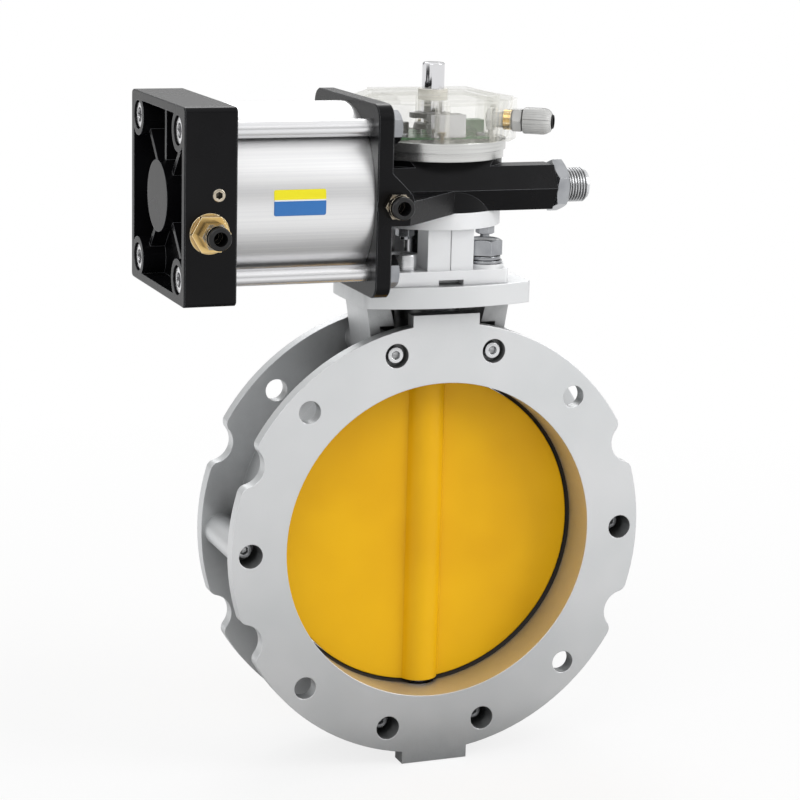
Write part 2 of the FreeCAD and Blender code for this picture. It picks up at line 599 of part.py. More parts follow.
def rod(radius, low, high, edge="0.5"):
    """Corners of a solid rod with a bevelled upper edge."""
    return [("0", low), (radius, low), (radius, f"{high} - {edge}"),
            (f"{radius} - {edge}", high), ("0", high)]


def group(name, pieces):
    """Several equal solids as one sub-part."""
    together = DOC.addObject("Part::Compound", name)
    together.Links = pieces
    DOC.recompute()
    return node(together)


def socket_screw(name, radius, length, head_radius, head_height, x, y, z, towards):
    """A socket head screw with its seat at the place and its shank along towards."""
    screw = body(name)
    spin(screw, [("0", f"-({head_height})"), (f"{head_radius} - 0.5", f"-({head_height})"),
                 (head_radius, f"0.5 - ({head_height})"), (head_radius, "0"), (radius, "0"),
                 (radius, length), ("0", length)])
    key = f"({head_radius}) * 0.55"
    cut(screw, "XY", f"-({head_height})", [regular(6, key)], f"({head_height}) * 0.5")
    return place(screw, x, y, z, towards)


SIGNS = (-1, 1)
SHEET = fill_sheet("Sizes", SIZES, "")
fill_sheet("Places", PLACES, "=")
CORNERS = [(east, away) for east in SIGNS for away in SIGNS]
TURNS["turned back"] = FreeCAD.Rotation(FreeCAD.Vector(0, 0, 1), 180)


def hexagon(flats, across="0", up="0", turn="0"):
    """A hexagon given across its flats."""
    return regular(6, f"({flats}) / (2 * cos(30))", across, up, turn)


def strip(across, up, angle, start, end, half_width):
    """A straight strip that leaves the point (across, up) at an angle."""
    def corner(along, aside):
        return (f"{across} + ({along}) * cos({angle}) - ({aside}) * sin({angle})",
                f"{up} + ({along}) * sin({angle}) + ({aside}) * cos({angle})")
    aside = f"0 - ({half_width})"
    return polygon([corner(start, aside), corner(end, aside),
                    corner(end, half_width), corner(start, half_width)])


def soften(owner, wanted, size, kind="Fillet"):
    """Rounds or bevels the edges of a body that a test picks out."""
    tip = owner.Tip
    names = [f"Edge{k}" for k, edge in enumerate(tip.Shape.Edges, 1) if wanted(edge)]
    feature = owner.newObject("PartDesign::" + kind, owner.Name + "_edges")
    feature.Base = (tip, names)
    bind(feature, "Size" if kind == "Chamfer" else "Radius", size)
    DOC.recompute()


def cylinder(name, radius, length, x="0", y="0", z="0", towards="z"):
    """A plain cylinder at its place."""
    piece = DOC.addObject("Part::Cylinder", name)
    bind(piece, "Radius", radius)
    bind(piece, "Height", length)
    return place(piece, x, y, z, towards)


def combine(kind, name, pieces):
    """A boolean of several pieces."""
    result = DOC.addObject("Part::" + kind, name)
    if kind == "Cut":
        result.Base, result.Tool = pieces
    else:
        result.Shapes = pieces
    DOC.recompute()
    return result


# The split body of the valve

BODY_SCREWS = [(f"{side} * screw_x", "screw_z", "upper_counterbore_depth") for side in SIGNS]
BODY_SCREWS += [(f"{side} * screw_x", "-screw_z", "deep_counterbore_depth") for side in SIGNS]
BODY_SCREWS += [(f"{side} * hole_circle_radius", "0", "deep_counterbore_depth") for side in SIGNS]
PILLAR_ANGLES = ["90 - screw_angle", "90 + screw_angle", "180",
                 "270 - screw_angle", "270 + screw_angle", "0"]


def body_half(name, depth, head_corner):
    """Half of the body, from its flange face at Y = 0 to the stem plane."""
    half = body(name)
    grow(half, "XZ", "0", [circle("0", "0", "lobe_radius")], "flange_thickness")
    for start, end in (("notch_angle", "180 - notch_angle"),
                       ("180 + notch_angle", "360 - notch_angle")):
        grow(half, "XZ", "0", [sector("flange_radius", start, end)], "flange_thickness")
    notches = [circle(f"{east} * notch_circle_radius * cos(notch_angle)",
                      f"{up} * notch_circle_radius * sin(notch_angle)", "notch_radius")
               for east, up in CORNERS]
    cut(half, "XZ", "0", notches, "flange_thickness")

    def at_notch(edge):
        """The straight edges along Y where a scallop meets the rim."""
        ends = [vertex.Point for vertex in edge.Vertexes]
        across = abs(ends[0].x) - number("notch_circle_radius * cos(notch_angle)")
        up = abs(ends[0].z) - number("notch_circle_radius * sin(notch_angle)")
        return (abs(ends[0].x - ends[-1].x) + abs(ends[0].z - ends[-1].z) < 0.01
                and abs(math.hypot(across, up) - number("notch_radius")) < 0.01)

    def at_head_corner(edge):
        """The upright edges where the bowed edge of the head plate meets its sides."""
        ends = [vertex.Point for vertex in edge.Vertexes]
        return (abs(ends[0].z - ends[-1].z) > number("head_thickness") - 0.01
                and abs(abs(ends[0].x) - number("head_half_width")) < 0.01
                and abs(ends[0].y - number(f"{depth} - head_half_depth + head_bow")) < 0.01)

    soften(half, at_notch, "notch_corner_radius")
    tab = rectangle("0", "tab_height / 2", "tab_half_width", "tab_height / 2")
    lug = rectangle("0", "-lug_height / 2", "tab_half_width", "lug_height / 2")
    grow(half, "XZ", "0", [tab], "flange_thickness")
    grow(half, "XZ", "0", [lug], "lug_thickness")
    grow(half, "XZ", "0", [circle("0", "0", "barrel_radius")], depth)
    pillars = [circle(x, z, "pillar_radius") for x, z, _ in BODY_SCREWS]
    grow(half, "XZ", "0", pillars, depth)
    webs = [strip("0", "0", angle, "bore_radius", "hole_circle_radius", "web_half_width")
            for angle in PILLAR_ANGLES]
    grow(half, "XZ", "0", webs, depth)
    ribs = [polygon([(f"{side} * rib_inner", "head_underside"),
                     (f"{side} * rib_outer", "head_underside"),
                     (f"{side} * rib_foot", "rib_foot_height"),
                     (f"{side} * (rib_foot - rib_leg)", "rib_foot_height"),
                     (f"{side} * (rib_foot - rib_leg / 3)", "rib_edge"),
                     (f"{side} * (rib_inner - rib_lean)", "rib_edge")]) for side in SIGNS]
    grow(half, "XZ", f"{depth} - rib_depth", ribs, "rib_depth")
    grow(half, "XY", "0", [circle("0", depth, "neck_radius")], "head_underside")
    grow(half, "XY", "0", [circle("0", depth, "neck_radius")], "lower_boss_height", back=True)
    head = bowed(f"{depth} - head_half_depth", depth, "head_half_width", "head_bow")
    grow(half, "XY", "head_height", [head], "head_thickness", back=True)
    soften(half, at_head_corner, head_corner)
    cut(half, "XZ", depth, [rectangle("0", "0", "2 * bore_radius", "2 * bore_radius")],
        "head_half_depth + neck_radius")
    cut(half, "XZ", "0", [circle("0", "0", "bore_radius")], depth)
    cut(half, "XZ", f"{depth} - seat_half_width", [circle("0", "0", "seat_outer_radius")],
        "seat_half_width")
    cut(half, "XY", "0", [circle("0", depth, "stem_radius + clear_gap")], "head_height")
    cut(half, "XY", "bushing_place", [circle("0", depth, "bushing_radius")],
        "head_height - bushing_place")
    cut(half, "XY", "0", [circle("0", depth, "bushing_radius")],
        "bushing_place + bushing_length", back=True)
    holes = [circle(f"{east} * hole_place", f"{up} * hole_place", "flange_hole_radius")
             for east, up in CORNERS]
    cut(half, "XZ", "0", holes, "flange_thickness")
    bolt_place = f"{depth} - big_bolt_place"
    cut(half, "XY", "head_height", [circle("big_bolt_place", bolt_place, "big_bolt_radius"),
                                    circle("-big_bolt_place", bolt_place, "low_screw_radius")],
        "head_thickness", back=True)
    return node(half)


def make_valve_body():
    """Both halves, the seat ring between them and the screws that clamp it."""
    front = body_half("body_front_half", "stem_depth", "head_front_corner")
    cut(front, "XZ", "0", [circle(x, z, "screw_radius + fit_gap") for x, z, _ in BODY_SCREWS],
        "stem_depth")
    for depth in ("upper_counterbore_depth", "deep_counterbore_depth"):
        wells = [circle(x, z, "counterbore_radius") for x, z, d in BODY_SCREWS if d == depth]
        cut(front, "XZ", "0", wells, depth)
    rear = body_half("body_rear_half", "face_to_face - stem_depth", "head_rear_corner")
    cut(rear, "XZ", "face_to_face - stem_depth",
        [circle(x, z, "screw_radius") for x, z, _ in BODY_SCREWS], "screw_grip + 2", back=True)
    place(rear, y="face_to_face", towards="turned back")

    seat = turned("seat_ring", [("seat_outer_radius", "-seat_half_width"),
                                ("seat_outer_radius", "seat_half_width"),
                                ("bore_radius", "seat_half_width"),
                                ("disc_radius + seat_gap", "seat_lip_half_width"),
                                ("disc_radius + seat_gap", "-seat_lip_half_width"),
                                ("bore_radius", "-seat_half_width")], y="stem_depth", towards="y")
    cut(seat, "XZ", "-seat_outer_radius", [circle("0", "0", "stem_radius + seat_gap")],
        "2 * seat_outer_radius")
    node(seat)

    screws = [socket_screw(f"body_screw_{k}", "screw_radius", f"stem_depth - {d} + screw_grip",
                           "screw_head_radius", "screw_head_height", x, d, z, "y")
              for k, (x, z, d) in enumerate(BODY_SCREWS, 1)]
    group("body_screws", screws)


# Disc, stems and their bushings


def make_disc():
    """The disc on its two stems."""
    plate = cylinder("disc_plate", "disc_radius", "2 * disc_half_thickness",
                     y="stem_depth - disc_half_thickness", towards="y")
    hub = cylinder("disc_hub", "disc_hub_radius", "2 * disc_radius",
                   y="stem_depth", z="-disc_radius")
    ball = DOC.addObject("Part::Sphere", "disc_ball")
    bind(ball, "Radius", "disc_radius")
    place(ball, y="stem_depth")
    blank = combine("MultiFuse", "disc_blank", [plate, hub])
    rounded_blank = combine("MultiCommon", "disc_rounded", [blank, ball])
    bores = [cylinder("disc_upper_bore", "stem_radius", "stem_grip + 1",
                      y="stem_depth", z="disc_radius - stem_grip"),
             cylinder("disc_lower_bore", "stem_radius", "stem_grip + 1",
                      y="stem_depth", z="-disc_radius - 1")]
    bores += [cylinder(f"disc_screw_bore_{k}", "grub_screw_radius", "disc_hub_radius",
                       y="stem_depth", z=f"{side} * grub_screw_place", towards="y")
              for k, side in enumerate(SIGNS, 1)]
    node(combine("Cut", "disc", [rounded_blank, combine("MultiFuse", "disc_bores", bores)]))

    upper = body("upper_stem")
    spin(upper, [("0", "disc_radius - stem_grip"), ("stem_radius", "disc_radius - stem_grip"),
                 ("stem_radius", "coupling_foot"), ("0", "coupling_foot")])
    grow(upper, "XY", "coupling_foot", [regular(4, "stem_square / (2 * cos(45))", turn="45")],
         "coupling_middle - coupling_foot")
    cut(upper, "XZ", "stem_radius - grub_screw_bite", [circle("0", "grub_screw_place",
                                                             "grub_screw_radius")], "stem_radius")
    node(place(upper, y="stem_depth"))
    lower = body("lower_stem")
    spin(lower, [("0", "-bushing_place - bushing_length + clear_gap"),
                 ("stem_radius", "-bushing_place - bushing_length + clear_gap"),
                 ("stem_radius", "stem_grip - disc_radius"), ("0", "stem_grip - disc_radius")])
    cut(lower, "XZ", "stem_radius - grub_screw_bite", [circle("0", "-grub_screw_place",
                                                             "grub_screw_radius")], "stem_radius")
    node(place(lower, y="stem_depth"))

    grub_screws = []
    for k, side in enumerate(SIGNS, 1):
        screw = body(f"disc_grub_screw_{k}")
        spin(screw, rod("grub_screw_radius", "stem_radius - grub_screw_bite",
                        "disc_hub_radius - clear_gap", "0.3"))
        cut(screw, "XY", "disc_hub_radius - clear_gap", [regular(6, "grub_screw_radius * 0.55")],
            "grub_screw_radius", back=True)
        grub_screws.append(place(screw, y="stem_depth", z=f"{side} * grub_screw_place",
                                 towards="y"))
    group("disc_grub_screws", grub_screws)

    bushing = ring("stem_radius + running_gap", "bushing_radius", "0", "bushing_length")
    node(turned("upper_bushing", bushing, y="stem_depth", z="bushing_place"))
    node(turned("lower_bushing", bushing, y="stem_depth", z="-bushing_place - bushing_length"))
    seal = ring("stem_radius + running_gap", "bushing_radius", "0", "stem_seal_height")
    group("stem_seals", [turned(f"stem_seal_{k}", seal, y="stem_depth",
                                z=f"bushing_place + bushing_length + {k - 1} * stem_seal_height")
                         for k in (1, 2)])


# Bracket between body and gear housing

BIG_BOLTS = [(1, -1), (-1, 1)]
LOW_SCREWS = [(-1, -1), (1, 1)]


def make_bracket():
    """The square plate with two legs and a round collar, and its bolts."""
    bracket = body("bracket")
    grow(bracket, "XY", "head_height", [rounded("0", "stem_depth", "bracket_half_width",
                                                "bracket_half_width", "3")],
         "bracket_plate_thickness")
    pads = [circle(f"{east} * big_bolt_place", f"stem_depth + {away} * big_bolt_place",
                   "big_boss_radius") for east, away in BIG_BOLTS]
    grow(bracket, "XY", "plate_top", pads, "big_boss_height")
    legs = [rectangle("0", f"stem_depth + {away} * (leg_inner + leg_outer) / 2",
                      "leg_half_width", "(leg_outer - leg_inner) / 2") for away in SIGNS]
    grow(bracket, "XY", "plate_top", legs, "leg_height")
    grow(bracket, "XY", "collar_underside", [circle("0", "stem_depth", "collar_radius")],
         "collar_thickness")
    cut(bracket, "XY", "head_height", [circle("0", "stem_depth", "plate_bore_radius")],
        "bracket_plate_thickness")
    cut(bracket, "XY", "collar_underside", [circle("0", "stem_depth", "collar_bore_radius")],
        "collar_thickness")
    seats = [circle(f"{east} * big_bolt_place", f"stem_depth + {away} * big_bolt_place",
                    f"{radius} + clear_gap")
             for spots, radius in ((BIG_BOLTS, "big_bolt_radius"), (LOW_SCREWS, "low_screw_radius"))
             for east, away in spots]
    cut(bracket, "XY", "head_height", seats, "bracket_plate_thickness + big_boss_height")
    studs = [circle(f"{east} * collar_bolt_place", f"stem_depth + {away} * collar_bolt_place",
                    "collar_bolt_radius + fit_gap") for east, away in CORNERS]
    cut(bracket, "XY", "collar_underside", studs, "collar_thickness")
    grooves = [rectangle("0", f"stem_depth + {away} * leg_outer", "leg_groove / 2", "leg_groove")
               for away in SIGNS]
    cut(bracket, "XY", "plate_top", grooves, "leg_height")
    slot = rectangle("0", "stem_depth - bracket_half_width", "pry_slot_width / 2",
                     "pry_slot_width / 2")
    cut(bracket, "XY", "head_height", [slot], "pry_slot_height")
    node(bracket)

    bolts, washers = [], []
    for k, (east, away) in enumerate(BIG_BOLTS, 1):
        x, y = f"{east} * big_bolt_place", f"stem_depth + {away} * big_bolt_place"
        seat = "plate_top + big_boss_height"
        washers.append(turned(f"flat_washer_{k}", ring("big_bolt_radius + clear_gap",
                                                       "flat_washer_radius", "0",
                                                       "flat_washer_height"), x, y, seat))
        seat += " + flat_washer_height"
        washers.append(turned(f"spring_washer_{k}", ring("big_bolt_radius + clear_gap",
                                                         "spring_washer_radius", "0",
                                                         "spring_washer_height"), x, y, seat))
        seat += " + spring_washer_height"
        bolt = body(f"bracket_bolt_{k}")
        shank = "plate_top + big_boss_height + flat_washer_height + spring_washer_height"
        spin(bolt, [("0", f"head_underside + 1 - ({shank})"),
                    ("big_bolt_radius", f"head_underside + 1 - ({shank})"),
                    ("big_bolt_radius", "0.5"), ("0", "0.5")])
        grow(bolt, "XY", "0", [hexagon("big_bolt_flats", turn="30")], "big_bolt_head")
        bolts.append(place(bolt, x, y, seat))
    group("bracket_bolts", bolts)
    group("bracket_washers", washers)
    screws = [socket_screw(f"bracket_screw_{k}", "low_screw_radius",
                           "plate_top - head_underside - 1", "low_screw_head_radius",
                           "low_screw_head_height", f"{east} * big_bolt_place",
                           f"stem_depth + {away} * big_bolt_place", "plate_top", "-z")
              for k, (east, away) in enumerate(LOW_SCREWS, 1)]
    group("bracket_socket_screws", screws)

    studs, nuts = [], []
    for k, (east, away) in enumerate(CORNERS, 1):
        x, y = f"{east} * collar_bolt_place", f"stem_depth + {away} * collar_bolt_place"
        grip = "collar_bolt_front_grip" if away < 0 else "collar_bolt_rear_grip"
        studs.append(turned(f"collar_stud_{k}", rod(
            "collar_bolt_radius", "collar_underside - collar_nut_height - collar_bolt_tail",
            f"housing_base + {grip}", "0.4"), x, y))
        nut = body(f"collar_nut_{k}")
        grow(nut, "XY", "collar_underside", [hexagon("collar_nut_flats", turn="30"),
                                             circle("0", "0", "collar_bolt_radius")],
             "collar_nut_height", back=True)
        nuts.append(place(nut, x, y))
    group("collar_studs", studs)
    group("collar_nuts", nuts)

    coupling = body("stem_coupling")
    grow(coupling, "XY", "coupling_foot",
         [circle("0", "0", "coupling_radius"),
          regular(4, "(stem_square / 2 + fit_gap) / cos(45)", turn="45")],
         "coupling_top - coupling_foot")
    node(place(coupling, y="stem_depth"))


# Gear housing, pinion and rack

BASE_SCREW_ANGLES = (0, 120, 240)


def make_gear_housing():
    """The casting that carries the pinion, the rack and the head of the cylinder."""
    housing = body("gear_housing")
    grow(housing, "XY", "housing_base", [circle("0", "stem_depth", "collar_radius")],
         "housing_height")
    bar_edge = "axis_depth - bar_flats / (2 * cos(30))"
    chip = polygon([(f"{bar_edge} - collar_radius", "axis_height"), (bar_edge, "axis_height"),
                    (f"{bar_edge} + (housing_top + 1 - axis_height) * tan(30)", "housing_top + 1"),
                    (f"{bar_edge} - collar_radius", "housing_top + 1")])
    cut(housing, "YZ", "-collar_radius", [chip], "2 * collar_radius")
    grow(housing, "YZ", "-head_flange_place", [hexagon("bar_flats", "axis_depth", "axis_height")],
         "head_flange_place + bar_reach")
    grow(housing, "YZ", "-head_flange_place",
         [rounded("axis_depth", "axis_height", "cap_half_width", "cap_half_width",
                  "head_flange_corner_radius")], "head_flange_thickness")

    def on_flange_rim(edge):
        """The outer edges of the square head flange."""
        reach = [max(abs(v.Y - number("axis_depth")), abs(v.Z - number("axis_height")))
                 for v in edge.Vertexes]
        return (abs(edge.Vertexes[0].X - edge.Vertexes[-1].X) < 0.01
                and min(reach) > number("cap_half_width") - 0.01)

    soften(housing, on_flange_rim, "edge_bevel", "Chamfer")
    inner = "-head_flange_place + head_flange_thickness"
    gusset = polygon([(f"{inner} - 1", "front_face"), (f"{inner} + 11", "front_face"),
                      ("-2", "stem_depth - collar_radius - 1"), ("-2", "axis_depth"),
                      (f"{inner} - 1", "axis_depth")])
    grow(housing, "XY", "housing_base", [gusset], "gusset_height")
    grow(housing, "XZ", "front_face", [circle("-head_port_place", "axis_height - head_port_drop",
                                              "head_port_boss_radius")], "head_port_boss_length")
    port_level = "axis_height - head_port_drop"
    flare = polygon([(f"{inner} - 1", port_level), ("-head_port_place", port_level),
                     ("head_port_boss_radius * cos(45) - head_port_place",
                      f"{port_level} + head_port_boss_radius * sin(45)"),
                     (f"{inner} - 1", f"{port_level} + head_port_boss_radius / sin(45)"
                                      f" - head_port_place - ({inner} - 1)")])
    grow(housing, "XZ", "front_face", [flare], "head_port_boss_length")
    disc_edge = "cylinder_bore_radius - fit_gap"
    shoulder = "(spigot_length - tube_seal_width) / 2"
    grow(housing, "YZ", "-head_flange_place",
         [circle("axis_depth", "axis_height", f"{disc_edge} - tube_seal_depth")],
         "spigot_length", back=True)
    grow(housing, "YZ", "-head_flange_place", [circle("axis_depth", "axis_height", disc_edge)],
         shoulder, back=True)
    grow(housing, "YZ", "-head_flange_place - spigot_length",
         [circle("axis_depth", "axis_height", disc_edge)], shoulder)
    cut(housing, "YZ", "-head_flange_place - spigot_length",
        [circle("axis_depth", "axis_height", "rack_bore_radius")],
        "head_flange_place + spigot_length + bar_reach")
    cut(housing, "XY", "housing_base", [circle("0", "stem_depth", "cavity_radius")],
        "cavity_roof - housing_base")
    cut(housing, "XY", "housing_base", [circle("0", "stem_depth", "bearing_plate_radius")],
        "bearing_plate_thickness")
    cut(housing, "XY", "cavity_roof", [circle("0", "stem_depth", "upper_journal_radius + bush_wall")],
        "housing_roof")
    port = circle("-head_port_place", "axis_height - head_port_drop", "fitting_thread_radius")
    cut(housing, "XZ", "front_face", [port], "port_depth")
    passage = circle("front_face + port_depth - 1.5 * passage_radius", "axis_height - head_port_drop",
                     "passage_radius")
    cut(housing, "YZ", "-head_port_place", [passage],
        "head_flange_place - head_port_place + spigot_length", back=True)
    ties = [circle(f"axis_depth + {away} * tie_bolt_place", f"axis_height + {up} * tie_bolt_place",
                   "tie_bolt_radius + fit_gap") for away, up in CORNERS]
    cut(housing, "YZ", "-head_flange_place", ties, "head_flange_thickness")
    for away, grip in ((-1, "collar_bolt_front_grip"), (1, "collar_bolt_rear_grip")):
        studs = [circle(f"{east} * collar_bolt_place", f"stem_depth + {away} * collar_bolt_place",
                        "collar_bolt_radius") for east in SIGNS]
        cut(housing, "XY", "housing_base", studs, grip)
    base_screws = [circle(f"base_screw_circle * cos({angle})",
                          f"stem_depth + base_screw_circle * sin({angle})", "small_screw_radius")
                   for angle in BASE_SCREW_ANGLES]
    cut(housing, "XY", "housing_top", base_screws, "housing_roof - 1", back=True)
    node(housing)


def gap_half_angle(radius):
    """Half the angle of a tooth gap of the pinion at a radius."""
    def roll(at):
        slope = f"acos(base_radius / ({at}))"
        return f"(tan({slope}) * 57.29578 - {slope} / 1 deg)"
    play = "backlash / 2 / pitch_radius * 57.29578"
    return f"90 / pinion_teeth + {play} + {roll(radius)} - {roll('pitch_radius')}"


def make_pinion():
    """The pinion shaft with its bushes, cover plate and retaining ring."""
    pinion = body("pinion")
    spin(pinion, [("0", "coupling_top"), ("lower_journal_radius", "coupling_top"),
                  ("lower_journal_radius", "pinion_foot"), ("outer_radius", "pinion_foot"),
                  ("outer_radius", "pinion_crown"), ("upper_journal_radius", "pinion_crown"),
                  ("upper_journal_radius", "shaft_top"), ("0", "shaft_top")])
    grow(pinion, "XY", "coupling_top", [regular(4, "stem_square / (2 * cos(45))", turn="45")],
         "coupling_top - coupling_middle", back=True)
    cut(pinion, "XY", "shaft_top", [circle("0", "0", "spindle_pin_radius + fit_gap")],
        "spindle_pin_length", back=True)
    flank = [("outer_radius + 1", gap_half_angle("outer_radius")),
             ("outer_radius", gap_half_angle("outer_radius")),
             ("pitch_radius + 1.25", gap_half_angle("pitch_radius + 1.25")),
             ("pitch_radius", gap_half_angle("pitch_radius")),
             ("pitch_radius - 0.7", gap_half_angle("pitch_radius - 0.7")),
             ("base_radius", gap_half_angle("base_radius")),
             ("root_radius", gap_half_angle("base_radius"))]
    right = [(f"({r}) * sin({a})", f"0 - ({r}) * cos({a})") for r, a in flank]
    left = [(f"0 - ({r}) * sin({a})", f"0 - ({r}) * cos({a})") for r, a in reversed(flank)]
    gap = cut(pinion, "XY", "pinion_foot", [polygon(right + left)], "pinion_width")
    pattern = pinion.newObject("PartDesign::PolarPattern", "pinion_teeth_pattern")
    pattern.Originals = [gap]
    pattern.Axis = (gap.Profile[0], ["N_Axis"])
    pattern.Angle = 360
    bind(pattern, "Occurrences", "pinion_teeth")
    pinion.Tip = pattern
    DOC.recompute()
    node(place(pinion, y="stem_depth"))

    lower_outer = "lower_journal_radius + bush_wall"
    plate = ring(lower_outer, "bearing_plate_radius - fit_gap", "housing_base",
                 "housing_base + bearing_plate_thickness")
    node(turned("bearing_plate", plate, y="stem_depth"))
    shelf = "housing_base + bearing_plate_thickness"
    bore = "lower_journal_radius + running_gap"
    node(turned("lower_pinion_bush", [(bore, "housing_base"), (lower_outer, "housing_base"),
                                      (lower_outer, shelf), ("thrust_flange_radius", shelf),
                                      ("thrust_flange_radius", f"{shelf} + thrust_flange_height"),
                                      (bore, f"{shelf} + thrust_flange_height")], y="stem_depth"))
    upper_outer = "upper_journal_radius + bush_wall"
    bore = "upper_journal_radius + running_gap"
    node(turned("upper_pinion_bush", [(bore, "cavity_roof - thrust_flange_height"),
                                      ("thrust_flange_radius", "cavity_roof - thrust_flange_height"),
                                      ("thrust_flange_radius", "cavity_roof"),
                                      (upper_outer, "cavity_roof"), (upper_outer, "housing_top"),
                                      (bore, "housing_top")], y="stem_depth"))
    node(turned("retaining_ring", ring("upper_journal_radius", "retaining_ring_radius",
                                       "housing_top + 0.3",
                                       "housing_top + 0.3 + retaining_ring_height"),
                y="stem_depth"))


RACK_GAPS = [k + 0.5 for k in range(-6, 2)]


def make_rack():
    """The toothed rack with its two bushes."""
    rack = body("rack")
    grow(rack, "YZ", "piston_length - piston_place", [circle("axis_depth", "axis_height",
                                                             "rack_radius")],
         "piston_place - piston_length + rack_reach")
    first, last = f"{RACK_GAPS[0] - 1.5} * tooth_pitch", f"{RACK_GAPS[-1] + 1} * tooth_pitch"
    flat = polygon([(first, "axis_depth + rack_flat"), (last, "axis_depth + rack_flat"),
                    (last, "axis_depth + rack_radius + 1"), (first, "axis_depth + rack_radius + 1")])
    cut(rack, "XY", "axis_height - rack_radius", [flat], "2 * rack_radius")
    tip, root = "axis_depth + rack_flat", "axis_depth + rack_flat - tooth_depth"
    middle = "tooth_pitch / 4 + backlash / 2"
    wide = f"({middle} + tooth_module * tan(pressure_angle))"
    narrow = f"({middle} - (tooth_depth - tooth_module) * tan(pressure_angle))"
    gaps = [polygon([(f"{k} * tooth_pitch - {narrow}", root), (f"{k} * tooth_pitch + {narrow}", root),
                     (f"{k} * tooth_pitch + {wide}", tip), (f"{k} * tooth_pitch - {wide}", tip)])
            for k in RACK_GAPS]
    cut(rack, "XY", "axis_height - rack_radius", gaps, "2 * rack_radius")
    cut(rack, "YZ", "piston_length - piston_place", [circle("axis_depth", "axis_height",
                                                            "piston_bolt_radius")],
        "piston_bolt_grip")
    node(rack)
    bush = ring("rack_radius + running_gap", "rack_bore_radius", "0", "rack_bush_length")
    node(turned("left_rack_bush", bush, "-left_bush_place - rack_bush_length", "axis_depth",
                "axis_height", "x"))
    node(turned("right_rack_bush", bush, "right_bush_place", "axis_depth", "axis_height", "x"))


# Pneumatic cylinder


